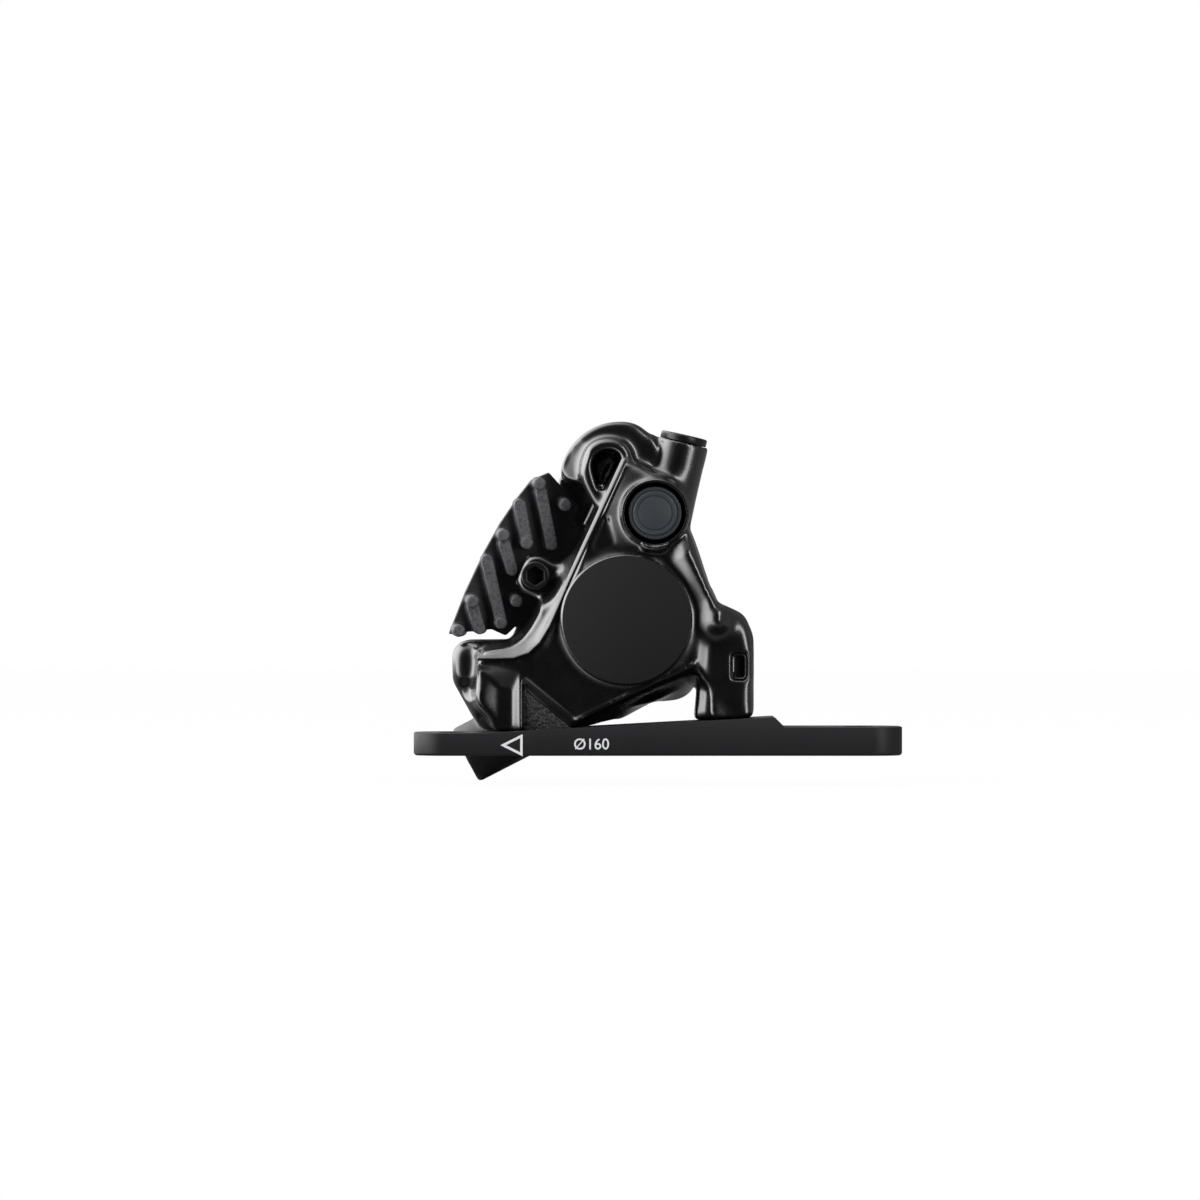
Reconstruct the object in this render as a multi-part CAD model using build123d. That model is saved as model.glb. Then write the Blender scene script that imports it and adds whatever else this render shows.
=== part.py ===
from build123d import *
import math
import os

# Hydraulic disc brake caliper for a road bicycle, on its fork adapter, in millimetres.
# The origin is the middle of the adapter's underside, which rests on the fork.
# +X points to the wheel axle, +Z up from the fork face, and +Y inboard to the rotor.

# Standard fittings
column_pitch = 34.0
fork_bolt_pitch = 70.0
fork_bolt_radius = 2.5
rotor_radius = 80.0
rotor_thickness = 1.8
overrun = 1.0
socket_sides = 6
quarter_turn = 90
running_fit = 0.05
seat_gap = 0.05
thread_fit = 0.05
loose_gap = 0.35

# Where the caliper stands on the adapter
left_column_x = -22.1
rotor_plane_y = 13.5
adapter_lean = 3.15
piston_from_column = 16.66
piston_height = 23.3
piston_to_axle = 72.0
pad_lean = 155.8

# Pistons and seals
piston_radius = 11.0
piston_length = 9.0
piston_wall = 2.2
piston_edge = 0.5
piston_end_room = 0.4
bore_wall = 3.5
seal_width = 2.0
seal_depth = 1.6
seal_inset = 1.4
housing_wall = 2.4

# Brake pads
running_gap = 0.35
pad_travel = 1.1
friction_thickness = 2.0
friction_reach = 9.0
friction_half_length = 10.5
friction_corner = 2.0
plate_thickness = 1.6
plate_reach = 10.5
plate_half_length = 11.5
plate_corner = 2.5
ear_length = 9.7
ear_half_width = 4.4
ear_corner = 2.5
ear_end_wall = 2.8
axle_along = 0.5

# Cooling fins
fin_base = 1.0
fin_splay = 11.0
fin_bend_reach = 13.0
fin_root_share = 0.61
fin_back_inset = 0.3
axle_window_half = 2.7
fin_reach = 27.8
fin_half_length = 17.8
rib_width = 2.0
rib_height = 2.4
pin_radius = 1.1
pin_height = 3.3
pin_edge = 0.25

# Pad axle, its snap retainer and the pad spring
axle_radius = 1.9
axle_head_radius = 2.45
axle_head_height = 1.6
axle_socket_flats = 3.0
axle_socket_depth = 1.9
axle_chamfer = 0.3
lug_thickness = 4.2
lug_half_width = 3.6
lug_end_wall = 2.7
lug_corner = 2.4
lug_edge = 0.7
lug_from_plane = 9.3
lug_root_reach = 10.0
groove_depth = 0.4
clip_thickness = 0.6
clip_radius = 3.1
clip_mouth = 2.2
axle_tail = 1.2
spring_thickness = 0.4
spring_half_width = 1.6
spring_axle_gap = 1.3
spring_end_inset = 0.9
spring_leaf_drop = 2.6
spring_leaf_width = 4.4
spring_rise = 1.6
spring_tab_half = 2.8

# Caliper body, from the left column and up from the adapter
body_height = 53.3
front_depth = 19.0
crown_depth = 16.0
flank_depth = 7.0
slot_half_width = 2.5
rotor_room = 2.0
disc_rise = 1.0
disc_radius = 11.2
disc_edge = 0.5
housing_shoulder = 12.0
housing_front_radius = 11.8
housing_front_gap = 0.6
housing_edge = 2.5
leg_half_depth = 5.5
back_foot_rise = 1.7
leg_edge = 1.0
leg_corner_radii = [1.0, 1.2, 1.0, 2.4, 2.4, 1.6, 1.0]
leg_hollow_radius = 3.2
leg_hollow_height = 7.0
leg_hollow_taper = 4.5
loop_depth = 13.0
loop_edge = 1.7
loop_corner_radii = [1.9, 10.6, 5.6, 2.4, 2.4]
bridge_corner = 1.2
web_depth = 12.0
web_corner = 0.4
web_edge = 0.35
rim_depth = 17.0
rim_edge = 1.0
rim_corner_radii = [6.0, 4.2, 3.7, 1.1, 1.2]
teardrop_depth = 7.0
end_depth = 10.5
end_edge = 1.8
end_corner_radii = [3.0, 3.0, 2.4, 2.4, 2.4]
end_notch_radius = 1.7
end_notch_share = 0.128
foot_hollow_radius = 6.5
foot_hollow_standoff = 4.0
foot_hollow_lean = 10.0
foot_hollow_x_share = -0.205
triangle_depth = 1.6
recess_depth = 4.0
window_width = 2.9
window_height = 4.8
window_corner = 0.8
window_depth = 2.4
window_x_share = 1.062
window_z_share = 0.206

# Bleed boss and plug, bleed tube and screw
boss_x_share = 0.635
boss_z_share = 0.7
boss_radius = 5.9
boss_rise = 1.0
boss_edge = 0.35
boss_flank_radius = 7.4
boss_flank_offset = 1.5
boss_flank_sink = 0.9
boss_flank_edge = 2.4
lip_inner_radius = 5.7
lip_outer_radius = 6.6
lip_rise = 0.5
lip_half_width = 2.3
boss_bore_radius = 5.3
boss_bore_depth = 6.0
boss_foot_depth = 9.0
plug_radius = 4.55
plug_sink = 0.4
plug_length = 4.6
plug_ring_radius = 3.7
plug_ring_width = 0.45
plug_ring_depth = 0.35
plug_core_radius = 2.5
nipple_radius = 2.6
nipple_length = 4.4
nipple_bore = 0.9
nipple_root_radius = 2.0
nipple_root_length = 2.0
tube_x_share = 0.779
tube_z_share = 0.932
tube_lean = 12.8
tube_radius = 4.5
tube_length = 17.1
tube_from_plane = 9.5
screw_head_radius = 4.05
screw_head_height = 1.3
screw_edge = 0.35
screw_radius = 2.5
screw_length = 6.5
screw_tip = 1.2
screw_socket_flats = 2.5
screw_socket_depth = 1.8
o_ring_wire = 0.6

# Screws that clamp the halves, and the seal between them
clamp_radius = 2.5
clamp_head_radius = 4.0
clamp_head_height = 3.6
clamp_socket_flats = 4.0
clamp_socket_depth = 2.4
clamp_thread = 7.5
lower_clamp_x_share = -0.215
lower_clamp_z_share = 0.152
upper_clamp_x_share = 0.416
upper_clamp_z_share = 0.89
transfer_x_share = -0.05
transfer_z_share = 0.1
transfer_wire = 0.6
transfer_ring_radius = 1.8
passage_depth = 6.0
passage_radius = 0.9

# Inner half
inner_end_depth = 12.0
inner_core_depth = 11.0
port_x_share = -0.338
port_z_share = -0.093
port_axis = 207.3
port_radius = 5.2
port_length = 16.3
port_from_plane = 7.6
port_bore_radius = 4.0
port_bore_length = 8.0
port_edge = 0.5

# Adapter bracket
adapter_end_reach = 7.0
adapter_width = 18.0
adapter_end_height = 3.9
adapter_ramp_left = -29.4
adapter_ramp_right = 20.0
adapter_tail_height = 4.9
adapter_step_run = 1.7
adapter_corner = 5.5
adapter_edge = 0.35
fork_slot_travel = 3.0
fork_slot_clearance = 0.25
bracket_screw_radius = 2.5
bracket_screw_clearance = 0.25
bracket_head_radius = 4.4
bracket_head_height = 2.4
bracket_head_sink = 0.4
bracket_screw_reach = 11.5
bracket_socket_flats = 3.9
bracket_socket_depth = 1.5
column_bore_length = 11.5

# Outlines of the body, as shares of the column pitch and the body height
front_flank_shares = [(0.478, 0.869), (0.231, 0.517), (0.145, 0.396)]
front_ridge_shares = [(0.145, 0.396), (0.079, 0.315), (-0.001, 0.244), (-0.077, 0.228)]
front_arm_shares = [(-0.077, 0.228), (-0.264, 0.225), (-0.264, 0.096), (-0.208, 0.051), (-0.163, -0.03),
                    (0.231, -0.03), (0.236, 0.025)]
front_lower_shares = [(0.236, 0.025), (0.444, 0.085), (0.65, 0.143), (0.797, 0.185), (0.882, 0.209)]
front_right_shares = [(0.882, 0.209), (0.915, 0.293)]
front_shoulder_shares = [(0.915, 0.293), (0.88, 0.39), (0.835, 0.47), (0.785, 0.57), (0.75, 0.65)]
front_top_shares = [(0.75, 0.65), (0.71, 0.79), (0.547, 0.852), (0.478, 0.869)]
back_flank_shares = [(0.443, 0.879), (0.18, 0.531), (0.095, 0.451)]
back_ridge_shares = [(0.095, 0.451), (-0.017, 0.367), (-0.077, 0.315), (-0.123, 0.293)]
back_arm_shares = [(-0.123, 0.293), (-0.264, 0.273), (-0.309, 0.073), (-0.221, 0.038), (-0.163, -0.03),
                   (0.282, -0.03), (0.357, 0.019)]
back_lower_shares = [(0.357, 0.019), (0.488, 0.041), (0.64, 0.087), (0.751, 0.096), (0.841, 0.143)]
back_right_shares = [(0.841, 0.143), (0.938, 0.274)]
back_shoulder_shares = [(0.938, 0.274), (0.962, 0.41), (0.918, 0.473), (0.863, 0.575), (0.811, 0.66)]
back_top_shares = [(0.811, 0.66), (0.768, 0.8), (0.562, 0.874), (0.443, 0.879)]
leg_shares = [(0.822, -0.03), (0.849, 0.14), (0.858, 0.4), (0.93, 0.42), (1.09, 0.375), (1.137, 0.304),
              (1.137, -0.03)]
loop_shares = [(0.141, 0.815), (0.232, 1.0), (0.55, 1.0), (0.665, 0.916), (0.547, 0.76)]
bridge_shares = [(0.385, 0.81), (0.15, 0.832), (0.12, 0.68), (0.3, 0.62), (0.42, 0.62)]
web_shares = [(0.53, 0.9), (0.575, 0.957), (0.64, 0.957), (0.64, 0.9), (0.74, 0.82), (0.59, 0.78)]
lower_end_shares = [(-0.4, 0.29), (-0.394, 0.156), (-0.259, 0.002), (0.12, 0.002), (0.12, 0.293)]
teardrop_crown_shares = [(0.317, 0.85), (0.342, 0.893), (0.393, 0.908), (0.446, 0.897)]
teardrop_point_shares = [(0.468, 0.882), (0.357, 0.76)]
rim_shares = [(0.238, 0.831), (0.3, 0.944), (0.506, 0.944), (0.524, 0.876), (0.353, 0.689)]
cast_triangle_shares = [(-0.032, 0.125), (0.206, 0.03), (-0.032, 0.03)]
dark_triangle_shares = [(0.392, 0.704), (0.302, 0.572), (0.35, 0.575), (0.44, 0.597), (0.42, 0.65)]
inner_side_shares = [(0.5, 0.95), (0.68, 0.82), (0.77, 0.67), (0.84, 0.54), (0.91, 0.41), (0.9, 0.29)]
inner_low_shares = [(0.9, 0.29), (0.86, 0.2), (0.75, 0.128), (0.6, 0.1), (0.46, 0.062), (0.3, 0.045),
                    (-0.219, 0.03)]
inner_flank_shares = [(-0.264, 0.273), (-0.123, 0.285), (-0.01, 0.365), (0.11, 0.44), (0.2, 0.51),
                      (0.443, 0.82)]

# Share of the back outline where the rounding of the main casting starts
round_share = 0.72

# Outline, ribs and pins of a fin, as shares of its reach and half length
fin_outline_shares = [(0.827, 1.0), (0.91, 0.86), (0.946, 0.635), (0.978, 0.348), (0.996, 0.022),
                      (1.0, -0.404),
                      (0.986, -0.837), (0.752, -0.624), (0.655, -0.624), (0.59, -0.382), (0.56, -0.191),
                      (0.554, 0.365), (0.561, 0.82)]
rib_shares = [(0.832, 0.789, 0.636, 0.366), (0.925, 0.596, 0.797, 0.316), (0.909, 0.185, 0.8, -0.015),
              (0.969, -0.027, 0.741, -0.491), (0.93, -0.5, 0.835, -0.665)]
pin_shares = [(0.868, 0.86), (0.666, 0.778), (0.788, 0.285), (0.944, 0.261), (0.731, -0.526), (0.697, -0.269),
              (0.95, -0.447), (0.955, -0.765)]

# Places worked out from the sizes above
piston_x = left_column_x + piston_from_column
piston_z = piston_height
outward_x = math.cos(math.radians(pad_lean))
outward_z = math.sin(math.radians(pad_lean))
wheel_x = piston_x - piston_to_axle * outward_x
wheel_z = piston_z - piston_to_axle * outward_z
friction_depth = rotor_thickness / 2 + running_gap
plate_depth = friction_depth + friction_thickness
fin_depth = plate_depth + plate_thickness
piston_depth = fin_depth + fin_base + seat_gap
bore_end_depth = piston_depth + piston_length + piston_end_room
bore_radius = piston_radius + running_fit
seal_start = flank_depth + seal_inset
housing_radius = bore_radius + seal_depth + housing_wall
slot_radius = rotor_radius + rotor_room
adapter_slope = math.tan(math.radians(adapter_lean))
adapter_length = fork_bolt_pitch + 2 * adapter_end_reach
ear_reach = plate_reach + ear_length
axle_reach = ear_reach - ear_end_wall
spring_leaf_reach = axle_reach - axle_radius - spring_axle_gap - spring_rise
spring_half_length = plate_half_length - spring_end_inset
fin_root_reach = fin_root_share * fin_reach
bridge_depth = fin_depth - pad_travel - loose_gap
slope_share = (front_depth - crown_depth) / (front_depth - flank_depth)


def ramp_height(x):
    """Height of the adapter's sloped top at one X."""
    return adapter_end_height + (x - adapter_ramp_left) * adapter_slope


seat_z = ramp_height(left_column_x)
front_y = rotor_plane_y - front_depth


def body_point(shares):
    """X and Z of one outline point, from its shares of the column pitch and body height."""
    return (left_column_x + shares[0] * column_pitch, seat_z + shares[1] * body_height)


def straight(points):
    """Straight runs through the outline points."""
    return Polyline(*[body_point(point) for point in points])


def curved(points):
    """One smooth curve through the outline points."""
    return Spline(*[body_point(point) for point in points])


def outboard(depth):
    """Y of a place outboard of the rotor's middle."""
    return rotor_plane_y - depth


def inboard(depth):
    """Y of a place inboard of the rotor's middle."""
    return rotor_plane_y + depth


core_runs = [
    (straight, front_flank_shares, back_flank_shares, slope_share, slope_share),
    (curved, front_ridge_shares, back_ridge_shares, slope_share, slope_share),
    (straight, front_arm_shares, back_arm_shares, slope_share, slope_share),
    (curved, front_lower_shares, back_lower_shares, slope_share, slope_share),
    (straight, front_right_shares, back_right_shares, slope_share, round_share),
    (curved, front_shoulder_shares, back_shoulder_shares, round_share, round_share),
    (straight, front_top_shares, back_top_shares, round_share, slope_share),
]


def slab(face, y_near, y_far):
    """Solid of one XZ outline between two Y places."""
    plane = Plane(origin=(0, y_far, 0), x_dir=(1, 0, 0), z_dir=(0, -1, 0))
    return extrude(plane * face, amount=y_far - y_near, dir=(0, -1, 0))


def rod(x, z, y_near, y_far, radius):
    """Round bar along Y."""
    return slab(Pos(x, z) * Circle(radius), y_near, y_far)


def soften(solid, radius, side):
    """Round the rim of a slab's near face (side -1) or far face (side 1)."""
    faces = solid.faces().sort_by(Axis.Y)
    rim = faces[0] if side < 0 else faces[-1]
    return fillet(rim.edges(), radius)


def along(x, y, z, direction_x, direction_z):
    """Plane at a place in the part whose normal lies in the XZ plane."""
    return Plane(origin=(x, y, z), x_dir=(0, 1, 0), z_dir=(direction_x, 0, direction_z))


rotor_plane = Plane(origin=(0, rotor_plane_y, 0), z_dir=(0, 1, 0))
piston_centre = (piston_x, rotor_plane_y, piston_z)
pad_frame = Plane(origin=piston_centre, x_dir=(outward_x, 0, outward_z), z_dir=(0, 1, 0))


def pad_box(low_reach, high_reach, low_along, high_along, low_depth, high_depth):
    """Block in the pad frame: outward reach, place along the rotor's edge and depth from its middle."""
    size = (high_reach - low_reach, high_along - low_along, high_depth - low_depth)
    centre = Pos((high_reach + low_reach) / 2, (high_along + low_along) / 2, (high_depth + low_depth) / 2)
    return centre * Box(*size)


def outer_twin(solid):
    """The outboard copy of an inboard pad piece."""
    return mirror(solid, about=rotor_plane)


axle_x = piston_x + axle_reach * outward_x + axle_along * outward_z
axle_z = piston_z + axle_reach * outward_z - axle_along * outward_x
lean_sine = math.sin(math.radians(adapter_lean))
lean_cosine = math.cos(math.radians(adapter_lean))
tube_sine = math.sin(math.radians(tube_lean))
tube_cosine = math.cos(math.radians(tube_lean))
right_column_x = left_column_x + column_pitch
column_places = [left_column_x, right_column_x]
clamp_places = [body_point((lower_clamp_x_share, lower_clamp_z_share)),
                body_point((upper_clamp_x_share, upper_clamp_z_share))]
transfer_place = body_point((transfer_x_share, transfer_z_share))
boss_place = body_point((boss_x_share, boss_z_share))
tube_place = body_point((tube_x_share, tube_z_share))
window_place = body_point((window_x_share, window_z_share))
port_place = body_point((port_x_share, port_z_share))
boss_depth = front_depth + boss_rise
boss_bore_end = boss_depth - boss_bore_depth
lug_end_depth = lug_from_plane + lug_thickness
lug_reach = axle_reach + lug_end_wall
reach_of_cuts = adapter_length
tube_plane = along(tube_place[0], outboard(tube_from_plane), tube_place[1], tube_sine, tube_cosine)
port_plane = along(port_place[0], inboard(port_from_plane), port_place[1],
                   math.cos(math.radians(port_axis)), math.sin(math.radians(port_axis)))


def column_plane(column_x):
    """Plane on the fork face whose normal is the axis of one column's screw."""
    foot_x = column_x + ramp_height(column_x) * adapter_slope
    return along(foot_x, 0, 0, -lean_sine, lean_cosine)


def bar(start, end, radius):
    """Round bar along the local Z axis."""
    return Pos(0, 0, (start + end) / 2) * Cylinder(radius, end - start)


def hex_bar(start, end, flats):
    """Six-sided bar along the local Z axis."""
    outline = RegularPolygon(flats / 2, socket_sides, major_radius=False)
    return Pos(0, 0, start) * extrude(outline, amount=end - start)


def under_seat():
    """All the space under the adapter's sloped top."""
    plane = along(left_column_x, 0, seat_z, -lean_sine, lean_cosine)
    return plane * Pos(0, 0, -body_height / 2) * Box(reach_of_cuts, reach_of_cuts, body_height)


def drop_face(crown, point):
    """Outline of a drop: a curved crown, and straight runs to the point and back."""
    return make_face(curved(crown) + straight([crown[-1]] + point + [crown[0]]))


def rounded(points, radii):
    """Outline through corner points, each corner rounded by its own radius."""
    return make_face(FilletPolyline(*[body_point(point) for point in points], radius=radii, close=True))


def loop_face():
    """Outline of the loop over the upper joint of the halves."""
    return rounded(loop_shares, loop_corner_radii)


def lower_end_face():
    """Outline of the rounded end over the lower joint of the halves."""
    return rounded(lower_end_shares, end_corner_radii)


def bridge(side):
    """Wall that joins the halves beyond the pads' upper ends, on one side (-1 outboard, 1 inboard)."""
    face = rounded(bridge_shares, bridge_corner)
    near, far = sorted([rotor_plane_y, rotor_plane_y + side * bridge_depth])
    return slab(face, near, far)


def axle_lug():
    """Lug that holds the pad axle, in the pad frame on the inboard side."""
    low = axle_along - lug_half_width
    high = axle_along + lug_half_width
    block = pad_box(lug_root_reach, lug_reach, low, high, lug_from_plane, lug_end_depth)
    corners = block.edges().filter_by(Axis.Z).sort_by(Axis.X)[-2:]
    block = fillet(corners, lug_corner)
    return pad_frame * chamfer(block.edges().group_by(Axis.Z)[-1], lug_edge)


def pad_pocket():
    """Space for a pad in one half, open outwards, in the pad frame on the inboard side."""
    half = plate_half_length + loose_gap
    return pad_frame * pad_box(-plate_reach - loose_gap, reach_of_cuts, -half, half, -overrun, flank_depth)


def piston_bore():
    """Bore and seal groove of one piston, on the inboard side."""
    bore = bar(-overrun, bore_end_depth, bore_radius)
    groove = bar(seal_start, seal_start + seal_width, bore_radius + seal_depth)
    return pad_frame * (bore + groove)


def axle_bore():
    """Bore for the pad axle through both halves, and the seats of its head and clip beside the housings."""
    end = front_depth + boss_rise
    bore = rod(axle_x, axle_z, outboard(lug_end_depth + overrun), inboard(lug_end_depth + overrun),
               axle_radius + running_fit)
    head_room = rod(axle_x, axle_z, outboard(end), outboard(lug_end_depth), axle_head_radius + loose_gap)
    clip_room = rod(axle_x, axle_z, inboard(lug_end_depth), inboard(end), clip_radius + loose_gap)
    return bore + head_room + clip_room


def rotor_slot():
    """Slot that the rotor turns in."""
    return rod(wheel_x, wheel_z, outboard(slot_half_width), inboard(slot_half_width), slot_radius)


def between(front, back, first, last):
    """Points between a front and a back run, by the back's share at the run's first and last point."""
    points = []
    for index, (near, far) in enumerate(zip(front, back)):
        share = first + (last - first) * index / (len(front) - 1)
        points.append((near[0] + share * (far[0] - near[0]), near[1] + share * (far[1] - near[1])))
    return points


def core_section(depth, place):
    """Outline of the main casting at its back (place 0), where its front starts to round (1) or there (2)."""
    outline = []
    for draw, front, back, first, last in core_runs:
        run = [back, between(front, back, first, last), front][place]
        outline += draw(run).edges()
    plane = Plane(origin=(0, outboard(depth), 0), x_dir=(1, 0, 0), z_dir=(0, -1, 0))
    return plane * make_face(outline)


def outer_core():
    """Main casting of the outboard half: the face inside the straight bar, its rounding and its flank."""
    back = core_section(flank_depth, 0)
    sloped = loft([back, core_section(crown_depth, 1), core_section(front_depth, 2)], ruled=True)
    return sloped + extrude(back, amount=flank_depth, dir=(0, 1, 0))


def outer_housing():
    """Round housing of the outboard piston, with the raised round face over it."""
    barrel = rod(piston_x, piston_z, outboard(housing_shoulder), outboard(flank_depth), housing_radius)
    cone_length = front_depth - housing_front_gap - housing_shoulder
    cone = Cone(housing_radius, housing_front_radius, cone_length)
    plane = Plane(origin=(piston_x, outboard(housing_shoulder), piston_z), z_dir=(0, -1, 0))
    disc = rod(piston_x, piston_z, outboard(front_depth + disc_rise), outboard(flank_depth), disc_radius)
    return barrel + plane * Pos(0, 0, cone_length / 2) * cone + soften(disc, disc_edge, -1)


def bleed_features():
    """Boss of the bleed nipple with its lip, tube of the bleed screw, and the web beside the tube."""
    x, z = boss_place
    boss = soften(rod(x, z, outboard(boss_depth), outboard(boss_foot_depth), boss_radius), boss_edge, -1)
    flank_end = outboard(boss_depth - boss_flank_sink)
    flank = rod(x - boss_flank_offset, z, flank_end, outboard(boss_foot_depth), boss_flank_radius)
    ring_end = outboard(boss_depth + lip_rise)
    lip = rod(x, z, ring_end, outboard(boss_foot_depth), lip_outer_radius)
    lip -= rod(x, z, ring_end, flank_end, lip_inner_radius)
    below = Pos(x, z - lip_outer_radius) * Rectangle(2 * lip_half_width, lip_outer_radius)
    lip &= slab(below, ring_end, outboard(boss_foot_depth))
    tube = tube_plane * bar(-tube_length, 0, tube_radius)
    web = slab(rounded(web_shares, web_corner), outboard(web_depth), rotor_plane_y)
    return boss + soften(flank, boss_flank_edge, -1) + lip + tube + soften(web, web_edge, -1)


def leg():
    """Leg over the right column, with the hollow down its left edge."""
    block = slab(rounded(leg_shares, leg_corner_radii), -leg_half_depth, leg_half_depth)
    block = soften(block, leg_edge, -1)
    foot = body_point(leg_shares[0])
    groove = Pos(0, 0, leg_hollow_height / 2) * Cylinder(leg_hollow_radius, leg_hollow_height)
    point = Cone(leg_hollow_radius, 0, leg_hollow_taper)
    groove += Pos(0, 0, leg_hollow_height + leg_hollow_taper / 2) * point
    return block, Pos(foot[0], front_y, seat_z) * groove


def foot_hollow():
    """Hollow down the left foot's front, which runs out under the ridge."""
    x = body_point((foot_hollow_x_share, 0))[0]
    place = Pos(x, front_y - foot_hollow_standoff, seat_z) * Rot(foot_hollow_lean, 0, 0)
    return place * Cylinder(foot_hollow_radius, body_height)


def end_notch():
    """Notch across the lower end, between its two lobes."""
    left, z = body_point((lower_end_shares[0][0], end_notch_share))
    right = body_point(front_arm_shares[1])[0]
    plane = Plane(origin=(left - overrun, outboard(end_depth), z), z_dir=(1, 0, 0))
    return plane * bar(0, right - left + overrun, end_notch_radius)


def bleed_cuts():
    """Bores of the nipple, its plug and the bleed screw."""
    x, z = boss_place
    mouth = rod(x, z, outboard(boss_depth + overrun), outboard(boss_bore_end), boss_bore_radius)
    root_end = boss_bore_end - nipple_root_length
    root = rod(x, z, outboard(boss_bore_end + overrun), outboard(root_end), nipple_root_radius + thread_fit)
    shank = bar(-screw_length - screw_tip - seat_gap, overrun, screw_radius + running_fit)
    ring = bar(-2 * o_ring_wire, overrun, screw_radius + running_fit + 2 * o_ring_wire)
    return mouth + root + tube_plane * (shank + ring)


def joint_cuts(end_y, thread_end_y):
    """Holes of the clamping screws, from one Y to another."""
    near, far = sorted([end_y, thread_end_y])
    holes = [rod(x, z, near, far, clamp_radius + thread_fit) for x, z in clamp_places]
    return holes[0] + holes[1]


def transfer_cut(side):
    """Oil passage in one half (-1 outboard, 1 inboard), with the ring's groove outboard."""
    x, z = transfer_place
    near, far = sorted([rotor_plane_y + side * passage_depth, rotor_plane_y - side * overrun])
    passage = rod(x, z, near, far, passage_radius)
    if side > 0:
        return passage
    outside = transfer_ring_radius + transfer_wire
    inside = transfer_ring_radius - transfer_wire
    bottom = outboard(2 * transfer_wire + seat_gap)
    top = rotor_plane_y + overrun
    return passage + (rod(x, z, bottom, top, outside) - rod(x, z, bottom, top, inside))


def outer_body():
    """Outboard half of the caliper, with both legs, the bleed boss and the bleed tube."""
    loop = soften(slab(loop_face(), outboard(loop_depth), rotor_plane_y), loop_edge, -1)
    end = soften(slab(lower_end_face(), outboard(end_depth), rotor_plane_y), end_edge, -1)
    leg_block, leg_hollow = leg()
    rim_face = rounded(rim_shares, rim_corner_radii)
    rim = soften(slab(rim_face, outboard(rim_depth), outboard(loop_depth - loop_edge)), rim_edge, -1)
    pocket_face = drop_face(teardrop_crown_shares, teardrop_point_shares)
    solid = outer_core() + outer_housing() + loop + bridge(-1) + (end - end_notch()) + leg_block + rim
    solid += bleed_features()
    solid += outer_twin(axle_lug())
    solid -= leg_hollow
    solid -= foot_hollow()
    solid -= slab(pocket_face, outboard(rim_depth + overrun), outboard(rim_depth - teardrop_depth))
    triangle = make_face(straight(cast_triangle_shares + [cast_triangle_shares[0]]))
    solid -= slab(triangle, front_y - overrun, front_y + triangle_depth)
    recess = make_face(straight(dark_triangle_shares + [dark_triangle_shares[0]]))
    solid -= slab(recess, front_y - overrun, front_y + recess_depth)
    window = RectangleRounded(window_width, window_height, window_corner)
    solid -= slab(Pos(*window_place) * window, front_y - overrun, front_y + window_depth)
    behind = Pos(piston_x, leg_half_depth + rotor_plane_y, seat_z + back_foot_rise - body_height / 2)
    solid -= behind * Box(reach_of_cuts, 2 * rotor_plane_y, body_height)
    solid -= under_seat()
    solid -= rotor_slot()
    solid -= outer_twin(pad_pocket())
    solid -= outer_twin(piston_bore())
    solid -= axle_bore()
    solid -= bleed_cuts()
    solid -= joint_cuts(outboard(clamp_thread + overrun), rotor_plane_y + overrun)
    solid -= transfer_cut(-1)
    for column_x in column_places:
        hole = bar(-overrun, ramp_height(column_x) + column_bore_length, bracket_screw_radius + thread_fit)
        solid -= column_plane(column_x) * hole
    return solid


def inner_body():
    """Inboard half of the caliper, with the piston housing and the hose port."""
    low_end = inner_low_shares[-1]
    flank = straight([low_end] + inner_flank_shares + [inner_side_shares[0]])
    outline = make_face(curved(inner_side_shares) + curved(inner_low_shares) + flank)
    solid = slab(outline, rotor_plane_y, inboard(inner_core_depth))
    end = slab(lower_end_face(), rotor_plane_y, inboard(inner_end_depth))
    loop = slab(loop_face(), rotor_plane_y, inboard(inner_end_depth))
    housing_end = inboard(bore_end_depth + bore_wall)
    housing = rod(piston_x, piston_z, inboard(flank_depth), housing_end, housing_radius)
    solid += soften(end, end_edge, 1) + soften(loop, loop_edge, 1) + soften(housing, housing_edge, 1)
    port = port_plane * bar(-port_length, 0, port_radius)
    solid += fillet(port.edges().sort_by(Axis.X)[0], port_edge)
    solid += axle_lug() + bridge(1)
    solid -= rotor_slot()
    solid -= pad_pocket()
    solid -= piston_bore()
    solid -= axle_bore()
    solid -= joint_cuts(rotor_plane_y - overrun, inboard(inner_end_depth + overrun))
    solid -= transfer_cut(1)
    solid -= port_plane * bar(-port_bore_length, overrun, port_bore_radius)
    return solid


def clamp_screws():
    """The two socket screws that clamp the halves, from the inboard side."""
    screws = []
    for x, z in clamp_places:
        shank = rod(x, z, outboard(clamp_thread), inboard(inner_end_depth), clamp_radius)
        head_end = inboard(inner_end_depth + clamp_head_height)
        head = soften(rod(x, z, inboard(inner_end_depth), head_end, clamp_head_radius), screw_edge, 1)
        plane = Plane(origin=(x, head_end, z), z_dir=(0, 1, 0))
        socket = plane * hex_bar(-clamp_socket_depth, overrun, clamp_socket_flats)
        screws.append(shank + head - socket)
    return Compound(children=screws)


def transfer_ring():
    """Rubber ring that seals the oil passage between the halves."""
    x, z = transfer_place
    plane = Plane(origin=(x, outboard(transfer_wire + seat_gap / 2), z), z_dir=(0, 1, 0))
    return plane * Torus(transfer_ring_radius, transfer_wire - seat_gap / 2)


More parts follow.
